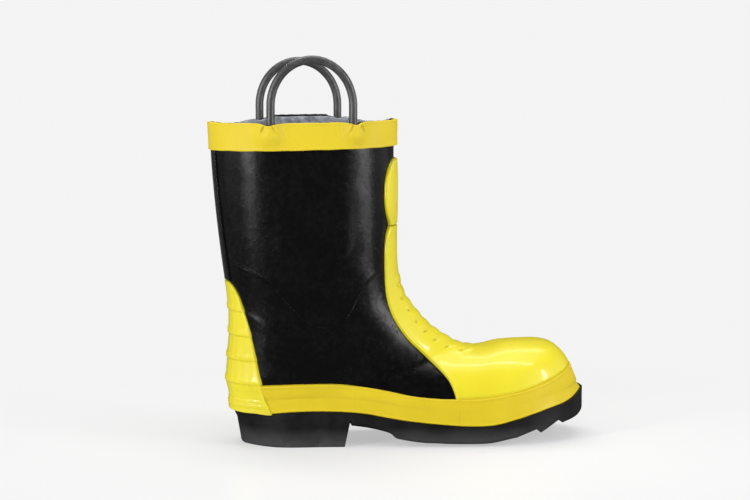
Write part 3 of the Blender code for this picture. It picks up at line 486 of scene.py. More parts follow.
def upper_sheet(name, rows, spans, columns, material, height, relief=None, radius=1.1, roll=0.2):
    """A rubber sheet laid on the upper, out to its angles at each row, with rounded edges."""
    angles = np.array([row_angles(t, a, b, columns) for t, (a, b) in zip(rows, spans)])
    base = OUTER.at(rows[:, None], angles)
    border = np.vstack([base[0, ::5], base[::3, -1], base[-1, ::-5], base[::-3, 0], base[:1, 0]])
    distance = segment_distance(base.reshape(-1, 3), border).reshape(base.shape[:2])
    up = rounded(distance, height, radius, roll)
    if relief is not None:
        up = up + relief(base, rows[:, None] + 0 * angles, angles) * smoothstep(distance / 3)
    normal = grid_normals(base)
    top = base + normal * up[..., None]
    under = base[:, ::-1] + normal[:, ::-1] * (SINK - 0.3)
    return loop_solid(name, np.concatenate([top, under], axis=1), material, "bridge")


# --- materials ----------------------------------------------------------------------------------


class Paint:
    """A procedural material: short calls that add nodes and link them."""

    def __init__(self, name, **values):
        self.material = bpy.data.materials.new(name)
        self.material.use_nodes = True
        self.tree = self.material.node_tree
        self.shader = self.tree.nodes["Principled BSDF"]
        for socket, value in values.items():
            self.set(self.shader, socket.replace("_", " "), value)

    def set(self, node, socket, value):
        if isinstance(value, bpy.types.NodeSocket):
            self.tree.links.new(value, node.inputs[socket])
        elif isinstance(value, tuple) and len(value) == 3 and node.inputs[socket].type == "RGBA":
            node.inputs[socket].default_value = (*value, 1.0)
        else:
            node.inputs[socket].default_value = value

    def node(self, kind, output, settings=None, **sockets):
        node = self.tree.nodes.new("ShaderNode" + kind)
        for key, value in (settings or {}).items():
            setattr(node, key, value)
        for socket, value in sockets.items():
            self.set(node, int(socket[1:]) if socket[0] == "i" else socket.replace("_", " "), value)
        return node.outputs[output]

    def place(self):
        return self.node("TexCoord", "Object")

    def surface(self):
        return self.node("UVMap", "UV", {"uv_map": "Surface"})

    def stretched(self, vector, scale, turn=0.0):
        return self.node(
            "Mapping", "Vector", Vector=vector, Scale=scale, Rotation=(0, 0, math.radians(turn)))

    def noise(self, vector, scale, detail=3.0, rough=0.5):
        return self.node(
            "TexNoise", "Fac", Vector=vector, Scale=scale, Detail=detail, Roughness=rough)

    def wave(self, vector, scale, distortion=0.0, direction="X"):
        return self.node(
            "TexWave", "Fac", {"bands_direction": direction}, Vector=vector, Scale=scale,
            Distortion=distortion)

    def math(self, operation, first, second=0.0):
        return self.node("Math", "Value", {"operation": operation}, i0=first, i1=second)

    def span(self, value, low, high, to_low=0.0, to_high=1.0):
        return self.node(
            "MapRange", "Result", Value=value, From_Min=low, From_Max=high, To_Min=to_low,
            To_Max=to_high)

    def blend(self, share, first, second, mode="MIX"):
        """Mixes two colours; the first and second are colours or sockets."""
        return self.node(
            "Mix", 2, {"data_type": "RGBA", "blend_type": mode}, i0=share, i6=first, i7=second)

    def bump(self, height, distance, strength=1.0, normal=None):
        sockets = {"Height": height, "Distance": distance, "Strength": strength}
        if normal is not None:
            sockets["Normal"] = normal
        return self.node("Bump", "Normal", **sockets)

    def pointiness(self):
        return self.node("NewGeometry", "Pointiness")

    def finish(self, colour, roughness, normal):
        self.set(self.shader, "Base Color", colour)
        self.set(self.shader, "Roughness", roughness)
        self.set(self.shader, "Normal", normal)
        return self.material


def black_rubber(name="black_rubber", colour=(0.0019, 0.0019, 0.0021), rough=(0.2, 0.3), shine=0.24):
    """Satin black rubber with a fine grain, slow waviness and a little bloom."""
    paint = Paint(name, Specular_IOR_Level=shine)
    place = paint.place()
    grain = paint.noise(place, 1000.0, 2.0, 0.6)
    slow = paint.noise(place, 38.0, 3.0)
    patches = paint.noise(place, 210.0, 4.0, 0.6)
    bloom = paint.span(paint.math("MULTIPLY", slow, patches), 0.2, 0.42)
    tone = paint.blend(bloom, colour, tuple(2.0 * c for c in colour))
    roughness = paint.span(patches, 0.35, 0.68, *rough)
    normal = paint.bump(grain, 0.0002, 0.7)
    normal = paint.bump(slow, 0.001, 0.3, normal)
    return paint.finish(tone, roughness, normal)


def yellow_rubber(name, colour, deep, rough, weave=0.0, coat=0.0):
    """Moulded or calendered yellow rubber with painted highlights on its convex edges and painted shade in
    its hollows; weave is the height of a cloth imprint in metres.
    """
    paint = Paint(name, Specular_IOR_Level=0.3, Coat_Weight=coat, Coat_Roughness=0.08)
    place = paint.place()
    slow = paint.noise(place, 26.0, 3.0)
    speck = paint.noise(place, 420.0, 3.0, 0.6)
    tone = paint.blend(paint.span(slow, 0.3, 0.7), colour, deep)
    # Painted highlight: convex edges, where pointiness rises above 0.52, are lightened towards this paler
    # yellow.
    edge_highlight = tuple(min(1.0, c * 1.1 + 0.03) for c in colour)
    tone = paint.blend(paint.span(paint.pointiness(), 0.52, 0.6, 0.0, 0.6), tone, edge_highlight)
    # This darker yellow serves two uses: painted shade in hollows and creases, and dirt in the random specks.
    grime_and_shade = (colour[0] * 0.62, colour[1] * 0.54, colour[2] * 0.45)
    # Painted shade: hollows, where pointiness is below 0.485, are darkened.
    tone = paint.blend(paint.span(paint.pointiness(), 0.485, 0.44, 0.0, 0.7), tone, grime_and_shade)
    tone = paint.blend(paint.span(speck, 0.66, 0.8, 0.0, 0.35), tone, grime_and_shade)
    roughness = paint.span(speck, 0.3, 0.7, rough - 0.06, rough + 0.1)
    normal = paint.bump(slow, 0.0016, 0.3)
    normal = paint.bump(paint.noise(place, 900.0, 2.0), 0.00008, 0.5, normal)
    if weave:
        across = paint.wave(paint.stretched(paint.surface(), (1, 1, 1), 45), 190.0)
        along = paint.wave(paint.stretched(paint.surface(), (1, 1, 1), -45), 190.0)
        cloth = paint.math("MULTIPLY", across, along)
        normal = paint.bump(cloth, weave, 0.8, normal)
        # Painted shade: the low parts of the cloth imprint are darkened.
        tone = paint.blend(paint.span(cloth, 0.45, 0.0, 0.0, 0.1), tone, grime_and_shade)
    return paint.finish(tone, roughness, normal)


def felt():
    """Grey-blue felted lining with mottling and a fuzzy nap."""
    paint = Paint("lining_felt", Specular_IOR_Level=0.15, Sheen_Weight=0.25, Sheen_Roughness=0.6)
    place = paint.place()
    fibres = paint.noise(paint.stretched(place, (1.0, 1.0, 0.35)), 1100.0, 6.0, 0.75)
    mottle = paint.noise(place, 160.0, 4.0, 0.65)
    tone = paint.blend(paint.span(mottle, 0.32, 0.68), (0.08, 0.092, 0.112), (0.33, 0.35, 0.39))
    tone = paint.blend(paint.span(fibres, 0.58, 0.75, 0.0, 0.6), tone, (0.5, 0.51, 0.55))
    return paint.finish(tone, 0.95, paint.bump(fibres, 0.0007, 0.9))


def sole_rubber():
    """Dull dark grey sole rubber with a mould grain, a little dust in it, and a painted reflection of the
    bright floor that lightens it towards the ground.
    """
    paint = Paint("sole_rubber", Specular_IOR_Level=0.3)
    place = paint.place()
    grain = paint.noise(place, 1000.0, 3.0, 0.6)
    dust = paint.noise(place, 60.0, 4.0, 0.6)
    tone = paint.blend(paint.span(dust, 0.42, 0.75), (0.0035, 0.0035, 0.0038), (0.009, 0.009, 0.0095))
    # Painted reflection of the floor: the rubber is lightened in patches over the lowest 17 mm, most at the
    # ground.
    height = paint.node("SeparateXYZ", "Z", Vector=place)
    floor_reflection = paint.math("MULTIPLY", paint.span(height, 0.017, 0.002), paint.span(dust, 0.2, 0.6, 0.6, 1.0))
    tone = paint.blend(floor_reflection, tone, (0.045, 0.045, 0.045))
    roughness = paint.span(dust, 0.35, 0.7, 0.45, 0.62)
    return paint.finish(tone, roughness, paint.bump(grain, 0.00018, 0.6))


def woven(name, light, dark, pitch, rough=0.9):
    """Plain woven cloth, such as a canvas ply or a footbed cover."""
    paint = Paint(name, Specular_IOR_Level=0.2, Sheen_Weight=0.15)
    place = paint.place()
    scale = 0.5 / pitch
    weft = paint.wave(place, scale, 0.4, "X")
    warp = paint.wave(place, scale, 0.4, "Y")
    cloth = paint.math("MULTIPLY", weft, warp)
    tone = paint.blend(paint.span(cloth, 0.0, 0.6), dark, light)
    tone = paint.blend(paint.span(paint.noise(place, 70.0), 0.4, 0.7, 0.0, 0.4), tone, dark)
    return paint.finish(tone, rough, paint.bump(cloth, 0.0003, 0.8))


def foam():
    paint = Paint("pad_foam", Specular_IOR_Level=0.2)
    cells = paint.node("TexVoronoi", "Distance", Vector=paint.place(), Scale=900.0)
    tone = paint.blend(paint.span(cells, 0.1, 0.6), (0.36, 0.34, 0.3), (0.58, 0.56, 0.5))
    return paint.finish(tone, 0.9, paint.bump(cells, 0.0005, 0.7))


def fibreboard():
    paint = Paint("fibreboard", Specular_IOR_Level=0.3)
    fibres = paint.noise(paint.stretched(paint.place(), (0.3, 1.0, 1.0)), 600.0, 6.0, 0.7)
    tone = paint.blend(paint.span(fibres, 0.3, 0.7), (0.2, 0.13, 0.07), (0.46, 0.33, 0.2))
    return paint.finish(tone, 0.8, paint.bump(fibres, 0.0003, 0.6))


def steel():
    paint = Paint("steel", Metallic=1.0)
    drawn = paint.noise(paint.stretched(paint.place(), (0.06, 1.0, 1.0)), 900.0, 4.0, 0.6)
    tone = paint.blend(paint.span(drawn, 0.3, 0.7), (0.42, 0.43, 0.45), (0.64, 0.65, 0.67))
    return paint.finish(tone, paint.span(drawn, 0.3, 0.7, 0.28, 0.45), paint.bump(drawn, 0.0001, 0.5))


def floor_paint():
    """Pale studio floor: a matte surface near the boot that turns into the even backdrop."""
    paint = Paint("studio_floor", Specular_IOR_Level=0.3, Roughness=0.32)
    paint.set(paint.shader, "Base Color", (0.9, 0.9, 0.9))
    away = paint.node("VectorMath", "Value", {"operation": "LENGTH"}, i0=paint.place())
    backdrop = paint.node("Emission", "Emission", Color=(1.0, 1.0, 1.0), Strength=BACKDROP)
    mirrored = paint.node("LightPath", "Is Glossy Ray")
    dim = paint.node("Emission", "Emission", Color=(1.0, 1.0, 1.0), Strength=0.12)
    surface = paint.node(
        "MixShader", "Shader", i0=paint.span(away, 0.16, 0.48, 0.52), i1=paint.shader.outputs[0], i2=backdrop)
    surface = paint.node("MixShader", "Shader", i0=mirrored, i1=surface, i2=dim)
    output = paint.tree.nodes["Material Output"]
    paint.tree.links.new(surface, output.inputs["Surface"])
    return paint.material


def make_paints():
    return {
        "black_rubber": black_rubber(),
        # Painted sheen: the handles are black rubber, but their colour is lifted well above the black
        # rubber's to stand in for the overhead reflection on the loops.
        "handle_rubber": black_rubber("handle_rubber", (0.032, 0.032, 0.033), (0.36, 0.48), 0.7),
        "sole_rubber": sole_rubber(),
        "yellow_rubber": yellow_rubber(
            "yellow_rubber", (0.64, 0.555, 0.019), (0.605, 0.52, 0.016), 0.38, coat=0.3),
        "yellow_foxing": yellow_rubber(
            "yellow_foxing", (0.605, 0.465, 0.01), (0.56, 0.425, 0.008), 0.42, weave=0.0001),
        "yellow_band": yellow_rubber(
            "yellow_band", (0.62, 0.48, 0.015), (0.58, 0.445, 0.012), 0.5, weave=0.00012),
        "lining_felt": felt(),
        "footbed_foam": woven("footbed_foam", (0.09, 0.09, 0.1), (0.02, 0.02, 0.025), 0.0012),
        "canvas_ply": woven("canvas_ply", (0.36, 0.33, 0.28), (0.18, 0.16, 0.13), 0.0008),
        "pad_foam": foam(),
        "fibreboard": fibreboard(),
        "steel": steel(),
    }


# --- upper --------------------------------------------------------------------------------------


def finish_piece(obj, slot, *nodes, body="boot"):
    """Makes a piece ride on its body in place of its CAD nodes."""
    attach(obj, body)
    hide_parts(*nodes)
    return obj


def front_spans(rows, edge):
    """Angles from the lateral side over the front to the medial side, out to a side-view edge."""
    edge = curve_through(edge)
    return [(-a, a) for a in (OUTER.edge_angle(t, edge) for t in rows)]


def root_places():
    """Where the legs of the two pull handles stand, from their CAD nodes."""
    places = []
    for side in ("lateral", "medial"):
        for end in ("back", "front"):
            low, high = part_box(f"handle_root_{side}_{end}")
            places.append(((low[0] + high[0]) / 2 / MM, (low[1] + high[1]) / 2 / MM))
    return places


ROOTS = root_places()
HANDLE_X = sum(x for x, _ in ROOTS) / len(ROOTS)
RIM_Z = 277.6
RIM_TILT = 0.8 / 78.0
BAND_BACK_Z = 253.2


def root_offsets(points):
    """For each handle root, how far along X each point is from it, or far away on the other side."""
    return [
        np.where(points[..., 1] * y > 0, points[..., 0] - x, 1e3) for x, y in ROOTS
    ]


def rim_dip(points):
    """How far the top edge lies under RIM_Z: it sinks at the handle legs and towards the back.

    The far side is drawn up between its handle's legs and sags in front of them and behind.
    """
    x, y = points[..., 0], points[..., 1]
    dip = sum(np.exp(-(near / 4.8) ** 2) for near in root_offsets(points))
    sag = 1 - smoothstep((x + 140) / 28) + smoothstep((x + 46) / 26)
    return 2.1 * dip - RIM_TILT * (x - HANDLE_X) + smoothstep(y / 22) * (4.4 * sag - 1.0)


def ripple(points, scale, seed):
    """A smooth random-looking wave from sines, the same on each run."""
    x, y, z = np.moveaxis(points, -1, 0) / scale
    return (
        np.sin(1.3 * x + 2.1 * y + seed) + np.sin(2.7 * y - 1.1 * z + 1.7 * seed)
        + np.sin(3.1 * z + 1.9 * x + 2.3 * seed)
    ) / 3


def shell_relief(points):
    """Plies, pad and counter showing through, and the slow unevenness of hand-laid rubber."""
    x, z = points[..., 0].ravel(), points[..., 2].ravel()
    side_on = np.column_stack([x, z])
    relief = 0.12 * ripple(points, 16.0, 1.0).ravel()
    for edge, step, width, above in ((PLY_EDGE, 0.5, 0.6, 1), (PAD_EDGE, 1.0, 3.0, 1),
                                     (COUNTER_EDGE, 0.3, 2.2, -1)):
        line = curve_through(edge)
        distance = segment_distance(side_on, line)
        over = np.sign(z - line_at(line, x)) * above
        inside = smoothstep((x - line[0, 0]) / 12) * smoothstep((line[-1, 0] - x) / 12)
        ridge = 0.4 / width * np.exp(-(distance / width) ** 2)
        fade = np.exp(-np.clip(distance - width, 0, None) / 26)
        relief += inside * (step * smoothstep(0.5 + over * distance / width) * fade + ridge)
    return relief.reshape(points.shape[:-1])


def build_shell(paint):
    """The black rubber upper, with a real thickness at the rim."""
    rows = even_rows(0.0, OUTER.end - 0.02, 330, crowded=False)
    angles = np.array([row_angles(t, -math.pi, math.pi, 330, closed=True) for t in rows])
    base = OUTER.at(rows[:, None], angles)
    out = grid_normals(base, closed=True)
    outer = base + out * shell_relief(base)[..., None]
    top = smoothstep((base[..., 2] - (RIM_Z - 12)) / 12)
    outer[..., 2] -= top * (rim_dip(base) + 0.4)
    inner_rows = rows[::8]
    inner = Skin(SHELL).at(inner_rows[:, None], angles[::8])
    inner[..., 2] -= smoothstep((inner[..., 2] - (RIM_Z - 12)) / 12) * (rim_dip(inner) + 0.4)
    grid = np.concatenate([outer[::-1], inner])
    return finish_piece(
        loop_solid("shell_skin", grid, paint["black_rubber"], "pole"), "black_rubber", "upper_shell")


def build_ply_edges(paint):
    """The fine raised lines on both sides of the ankle, where the plies end under the rubber."""
    line = curve_through(PLY_EDGE)
    x, z = line.T
    sides = np.arange(8) * math.pi / 4
    for label, y in zip(("lateral", "medial"), OUTER.sides(x, z)):
        middle = np.column_stack([x, y, z])
        out = side_normals(x, y, z)
        middle += out * (shell_relief(middle) - 0.1)[:, None]
        beside = unit(np.cross(out, unit(np.gradient(middle, axis=0))))
        along = running_length(middle, 0)
        size = 0.42 * np.sqrt(smoothstep(np.minimum(along, along[-1] - along) / 14)) + 0.02
        grid = middle[:, None] + size[:, None, None] * (
            np.cos(sides)[:, None] * beside[:, None] + np.sin(sides)[:, None] * out[:, None])
        obj = loop_solid(f"ply_edge_line_{label}", grid, paint["black_rubber"], "pole", 80)
        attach(obj, "boot")


def lining_depth():
    """Depths of the lining's outside: deeper wherever a stiffener is behind it."""
    knots = np.array([0.0, 2.0, 2.5, 4.0, 8.0, 9.0, 14.0, 15.0, 22.0])
    front = np.array([3.2, 3.2, 3.2, 3.2, 3.2, 3.2, 3.2, 5.8, 5.8])
    back = np.array([3.2, 3.2, 3.4, 5.6, 5.6, 7.6, 7.6, 7.6, 7.6])
    side = np.array([3.2, 3.2, 6.9, 6.9, 6.9, 6.2, 6.2, 6.2, 6.2])
    return [[(knots, values + extra) for values in (front, back, side)] for extra in (0.0, LINING)]


def build_lining(paint):
    """Felt inside, with a soft rounded top edge and slight ruffles."""
    outside, inside = [Skin(*depths) for depths in lining_depth()]
    rows = even_rows(0.0, 20.4, 170, crowded=False)
    angles = np.array([row_angles(t, -math.pi, math.pi, 220, closed=True) for t in rows])
    inner = inside.at(rows[:, None], angles)
    out = grid_normals(inner, closed=True)
    inner = inner + out * (0.35 * ripple(inner, 9.0, 2.0) + 0.25 * ripple(inner, 3.1, 4.0))[..., None]
    outer = outside.at(rows[::6][:, None], angles[::6])
    middle = (inner[0] + outer[0]) / 2
    lip = []
    for share in (0.25, 0.5, 0.75):
        place = inner[0] + (outer[0] - inner[0]) * share
        place[:, 2] = middle[:, 2] + 1.2 * math.sin(share * math.pi)
        lip.append(place)
    grid = np.concatenate([inner[::-1], np.array(lip), outer])
    top = smoothstep((grid[..., 2] - (RIM_Z - 14)) / 14)
    grid[..., 2] -= top * (1.3 + rim_dip(grid) + 0.3 * ripple(grid, 6.0, 3.0))
    return finish_piece(
        loop_solid("felt_lining", grid, paint["lining_felt"], "pole"), "lining_felt", "lining")


def build_rim(paint):
    """The trimmed black edge on the rim, a little uneven, higher between the inner handle's legs."""
    angles = np.linspace(-math.pi, math.pi, 901)[:-1]
    base = OUTER.at(0.0, angles)
    out = level_normals(base)
    backs, fronts = [x for x, _ in ROOTS[0::2]], [x for x, _ in ROOTS[1::2]]
    between = smoothstep((base[:, 0] - backs[1] - 9) / 3) * smoothstep((fronts[1] - 8 - base[:, 0]) / 3)
    raised = 1.5 * between * (base[:, 1] > 0)
    rough_cut = 0.22 * ripple(base, 2.1, 5.0) + 0.14 * ripple(base, 0.8, 6.0)
    rows = []
    for depth, lift in ((-0.1, -3.0), (-0.25, -0.6), (0.25, 0.0), (1.2, 0.15), (2.2, 0.0),
                        (2.9, -0.6), (3.0, -3.0)):
        place = base - out * depth
        place[:, 2] = RIM_Z - 0.1 + lift - rim_dip(base)
        if lift > -2:
            place[:, 2] += raised + rough_cut
        rows.append(place)
    return finish_piece(
        loop_solid("rim_edge", np.array(rows), paint["black_rubber"], "ring"),
        "black_rubber", "rim_bead")


def build_back_strip(paint):
    """The joining strip down the back of the shaft."""
    rows = even_rows(0.7, 4.05, 150)
    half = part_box("back_strip")[1][1] / MM
    spans = []
    for t in rows:
        reach = (half / OUTER.read(OUTER.lateral, t)) ** (OUTER.read(OUTER.n_back, t) / 2)
        spans.append((math.pi - math.asin(reach), math.pi + math.asin(reach)))

    def ridge(base, t, angle):
        return 0.3 * np.exp(-((np.abs(base[..., 1]) - half + 3.0) / 1.1) ** 2)

    obj = upper_sheet("back_seam_strip", rows, spans, 46, paint["black_rubber"], 1.5, ridge, 0.7, 0.15)
    return finish_piece(obj, "black_rubber", "back_strip")


def build_shin_guard(paint):
    """The padded shin plate: a crowned lens with a bevelled edge."""
    rows = even_rows(0.985, 2.455, 110)
    spans = front_spans(rows, SHIN_EDGE)

    def crown(base, t, angle):
        high = smoothstep((base[..., 2] - 186) / 14) * smoothstep((248 - base[..., 2]) / 20)
        groove = np.exp(-((np.abs(base[..., 1]) - 21.0) / 1.6) ** 2)
        return (0.5 - 0.45 * groove) * high

    obj = upper_sheet("shin_plate", rows, spans, 110, paint["yellow_rubber"], PROUD, crown, 1.3, 0.1)
    return finish_piece(obj, "yellow_rubber", "shin_guard")


INSTEP_PITCH = 12.2
INSTEP_HALF = 19.0


def instep_travel():
    """Distance down the front of the upper at each section, from the top of the instep bars."""
    travel = running_length(OUTER.front, 0)
    return travel - np.interp(4.0, OUTER.t, travel)


def instep_bars(base, t, angle):
    """Nine rounded bars across the instep, each with a short slot at both ends."""
    along = np.interp(t, OUTER.t, instep_travel())
    reach = 9 * INSTEP_PITCH
    window = smoothstep((along + 3) / 8) * smoothstep((reach + 2 - along) / 10)
    across = smoothstep((INSTEP_HALF + 3.5 - np.abs(base[..., 1])) / 6)
    bars = 0.85 * (0.5 - 0.5 * np.cos(2 * math.pi * along / INSTEP_PITCH)) ** 0.8
    step = (along / INSTEP_PITCH - np.round(along / INSTEP_PITCH)) * INSTEP_PITCH
    slot = np.exp(-((np.abs(base[..., 1]) - INSTEP_HALF) / 1.6) ** 4 - (step / 0.9) ** 2)
    return window * (across * bars - 1.2 * slot)


def cover_relief(base, t, angle):
    """Bars on the instep, a lowered margin behind the foxing and slightly uneven rubber."""
    relief = instep_bars(base, t, angle) + 0.12 * ripple(base, 14.0, 7.0)
    above = base[..., 2] - line_at(curve_through(FOXING_TOP), base[..., 0])
    low = base[..., 0] > 30
    return relief - np.where(low, 1.1 * smoothstep((2.2 - above) / 2.4), 0)


def build_instep_cover(paint):
    """Toe and instep cover, from the neck under the shin guard to behind the foxing."""
    edge = curve_through(COVER_BACK)
    tuck = [(x, z - 5.0) for x, z in FOXING_TOP if x > 46]
    edge = np.vstack([edge, tuck])
    rows = np.concatenate([even_rows(2.462, 6.0, 100)[:-3], even_rows(6.0, 19.94, 280, False)])
    spans = [(-a, a) for a in (OUTER.edge_angle(t, edge) for t in rows)]
    obj = upper_sheet("toe_cover", rows, spans, 220, paint["yellow_rubber"], PROUD, cover_relief,
                      1.1, 0.25)
    return finish_piece(obj, "yellow_rubber", "toe_instep_cover")


# --- collar band --------------------------------------------------------------------------------


def band_bulge(points):
    """1 where a handle leg lies behind the band, falling to 0 beside it."""
    bulge = np.zeros(points.shape[:-1])
    for near in root_offsets(points):
        bulge = np.maximum(bulge, np.exp(-(np.abs(near) / 9.5) ** 2.4))
    return bulge


def band_folds(points, drop):
    """Thin folds that run down and outwards from each side of a handle leg."""
    folds = np.zeros(points.shape[:-1])
    for i, near in enumerate(root_offsets(points)):
        for side in (-1, 1):
            line = side * (4.6 + 0.3 * drop)
            fade = smoothstep((11.5 + i % 2 - drop) / 8)
            folds += 1.15 * fade * np.exp(-((near - line) / 0.8) ** 2)
            folds -= 0.9 * fade * np.exp(-((near - line + side * 1.9) / 1.0) ** 2)
    return folds


def build_band(paint):
    """The yellow collar band: rolled edges, and folds where it is drawn over the handle legs."""
    low_back = BAND_BACK_Z
    slope = 3.1 / (SECTIONS[0, 0] - SECTIONS[0, 2])
    angles = row_angles(0.35, -math.pi, math.pi, 1000, closed=True)
    face = edge_places(RIM_Z - low_back, 52)
    share = face / face[-1]
    rows = []
    ring0 = OUTER.at(0.35, angles)
    bottom = low_back + slope * (ring0[:, 0] - SECTIONS[0, 2]) + 0.25 * ripple(ring0, 7.0, 8.0)
    top = RIM_Z + 0.15 - rim_dip(ring0) + 0.22 * ripple(ring0, 6.0, 9.0)
    top -= 1.2 * smoothstep(ring0[:, 1] / 20)
    inner = []
    for f, d in zip(share, face):
        z = bottom + (top - bottom) * f
        edge = min(d, face[-1] - d)
        t = OUTER.level(np.minimum(z, RIM_Z))
        base = OUTER.at(t, angles)
        out = level_normals(base)
        bulge = band_bulge(base) * (0.35 + 0.65 * smoothstep(d / 15.0)) * 8.6
        drop = top - z
        lift = PROUD - 0.7 + 0.7 * math.sqrt(max(0, 1 - (1 - min(edge / 0.7, 1)) ** 2))
        lift += 0.28 * math.exp(-((edge - 1.1) / 0.6) ** 2)
        slack = 0.14 * ripple(base, 8.0, 10.0)
        place = base + out * (lift + bulge + slack + band_folds(base, drop))[:, None]
        place[:, 2] = z
        rows.append(place)
        if len(inner) < 1 or f > 0.98 * len(inner) / 6 and len(inner) < 7:
            hollow = base + out * (0.1 + bulge)[:, None]
            hollow[:, 2] = z
            inner.append(hollow)
    hollow = base + out * (0.1 + bulge)[:, None]
    hollow[:, 2] = z
    inner.append(hollow)
    grid = np.array(rows + inner[::-1])
    obj = loop_solid("collar_wrap", grid, paint["yellow_band"], "ring")
    return finish_piece(obj, "yellow_band", "collar_band")


# --- walls round the foot -----------------------------------------------------------------------


def turn_height(x):
    """The height at which the side of the foot starts to turn in under it."""
    return line_at(FOXING_BOTTOM, x) + line_at(WALL_TURN, x)


def side_normals(x, y, z):
    """Outward normals of the upper where level rays hit it."""
    t, share = OUTER.locate(x, z)
    angle = OUTER.share_angle(t, share)
    angle = np.where(y > OUTER.read(OUTER.centre, t), angle, -angle)
    step = 0.03
    low, high = np.clip(t - step, 0, OUTER.end), np.clip(t + step, 0, OUTER.end)
    down = OUTER.at(high, angle) - OUTER.at(low, angle)
    around = OUTER.at(t, angle + step) - OUTER.at(t, angle - step)
    return unit(np.cross(down, around))


def wall_base(rays, line):
    """Where level rays from (x, y) meet the upper at a side-view line: points, normals, follow.

    Below the turn of the upper the points stay upright under it instead of following it inwards.
    """
    x, y, dx, dy = np.transpose(rays)
    tip = OUTER.front[:, 0].max()
    near, far = np.zeros_like(x), np.full_like(x, 120.0)
    for _ in range(17):
        mid = (near + far) / 2
        px, py = x + dx * mid, y + dy * mid
        lateral, medial = OUTER.sides(px, np.maximum(line_at(line, px), turn_height(px)))
        inside = (py > lateral) & (py < medial) & (px < tip)
        near, far = np.where(inside, mid, near), np.where(inside, far, mid)
    px, py = x + dx * near, y + dy * near
    z = line_at(line, px)
    out = unit(side_normals(px, py, np.maximum(z, turn_height(px))))
    run = np.gradient(np.column_stack([px, py]), axis=0)
    level = unit(np.column_stack([run[:, 1], -run[:, 0]])) * np.hypot(out[:, :1], out[:, 1:2])
    out[:, :2] = np.where((dx > 0.3)[:, None], level, out[:, :2])
    follow = np.clip((z - turn_height(px)) / 4.0, 0, 1)
    out[:, 2] *= follow
    return np.column_stack([px, py, z]), unit(out), follow


def wall_offset(base, line, offset):
    """Points that far out from a wall's base; the offset is a number or one for each point."""
    points, out, follow = base
    place = points + out * np.reshape(offset, (-1, 1))
    place[:, 2] = place[:, 2] * follow + line_at(line, place[:, 0]) * (1 - follow)
    return place


def wall_points(rays, line, offset):
    return wall_offset(wall_base(rays, line), line, offset)


def side_rays(places, side):
    return [(a, 0.0, 0.0, side) for a in places]


def fan_rays(x, turns, y=0.0):
    return [(x, y, math.cos(a), math.sin(a)) for a in turns]


def between(low, high, share, x):
    """A side-view line part of the way up from one line to another."""
    return np.column_stack([x, line_at(low, x) * (1 - share) + line_at(high, x) * share])


WALL = 24.0
WALL_SHARES = edge_places(WALL, 42)[::-1] / WALL


def foxing_piece(name, rays_of, paint, extra=0.0, ends=(0.5, 0.5), nodes=(), flare=0.0):
    """One length of foxing; rays_of gives its rays, and flare leans its foot out at the toe."""
    x = np.linspace(-150, 166, 400)
    top, bottom = curve_through(FOXING_TOP), curve_through(FOXING_BOTTOM)
    outer, inner = [], []
    for share in WALL_SHARES:
        line = between(bottom, top, share, x)
        rays = rays_of(line)
        d = min(share, 1 - share) * WALL
        body = PROUD + extra - 0.9 + 0.9 * math.sqrt(max(0, 1 - (1 - min(d / 0.9, 1)) ** 2))
        bead = 0.55 * math.exp(-((d - 1.2) / 0.75) ** 2)
        base = wall_base(rays, line)
        along = running_length(base[0], 0)
        ahead = np.array([max(dx, 0.0) for _, _, dx, _ in rays])
        height = body + bead + flare * ahead ** 2 * (1 - share) ** 3
        for edge, length in zip(ends, (along, along[-1] - along)):
            if edge:
                height -= edge * (1 - np.sqrt(1 - (1 - np.clip(length / edge, 0, 1)) ** 2))
        outer.append(wall_offset(base, line, height))
        inner.append(wall_offset(base, line, SINK))
    outer, inner = np.array(outer), np.array(inner)
    wave = 0.07 * ripple(outer, 5.0, 11.0)
    outer[..., 1] += wave * np.sign(outer[..., 1])
    grid = np.concatenate([outer.transpose(1, 0, 2), inner.transpose(1, 0, 2)[:, ::-1]], axis=1)
    obj = loop_solid(name, grid, paint["yellow_foxing"], "bridge")
    return finish_piece(obj, "yellow_foxing", *nodes)


LAP_BACK, LAP_FRONT = -46.0, 45.0


def guard_front(z):
    """The x of the heel guard's front edge at a height."""
    edge = curve_through(GUARD_FRONT)[::-1]
    return np.interp(z, edge[:, 1], edge[:, 0])


def build_foxing(paint):
    """The yellow strip round the foot, in five lengths with lap seams."""
    for side, label in ((-1.0, "lateral"), (1.0, "medial")):

        def heel_rays(line, side=side):
            start = guard_front(line_at(line, -118.0)) - 3.0
            return side_rays(start + edge_places(LAP_BACK + 1.2 - start, 90), side)

        def middle_rays(line, side=side):
            return side_rays(LAP_BACK + edge_places(LAP_FRONT - LAP_BACK, 100), side)

        foxing_piece(f"foxing_heel_strip_{label}", heel_rays, paint, 0.25, (0, 0.6),
                     [f"foxing_heel_{label}"])
        foxing_piece(f"foxing_side_strip_{label}", middle_rays, paint, 0.0, (0, 0),
                     [f"foxing_side_{label}"])

    def toe_rays(line):
        straight = edge_places(82.0 - LAP_FRONT, 40)[:-1] + LAP_FRONT + 0.08
        fan = np.radians(np.linspace(-82, 82, 200))
        return [*side_rays(straight, -1.0), *fan_rays(90.0, fan, 5.0), *side_rays(straight[::-1], 1.0)]

    foxing_piece("foxing_toe_bumper", toe_rays, paint, 0.1, (0.25, 0.25), ["foxing_toe"], 4.6)


def guard_rows():
    """Heights of the heel guard's rows, closest where its ribs step."""
    z = np.linspace(GUARD_LOW, GUARD_TOP, 2000)
    slope = np.abs(np.gradient(line_at(GUARD_RELIEF, z), z))
    travel = np.cumsum(0.35 + slope)
    return np.interp(np.linspace(travel[0], travel[-1], 190), travel, z)[::-1]


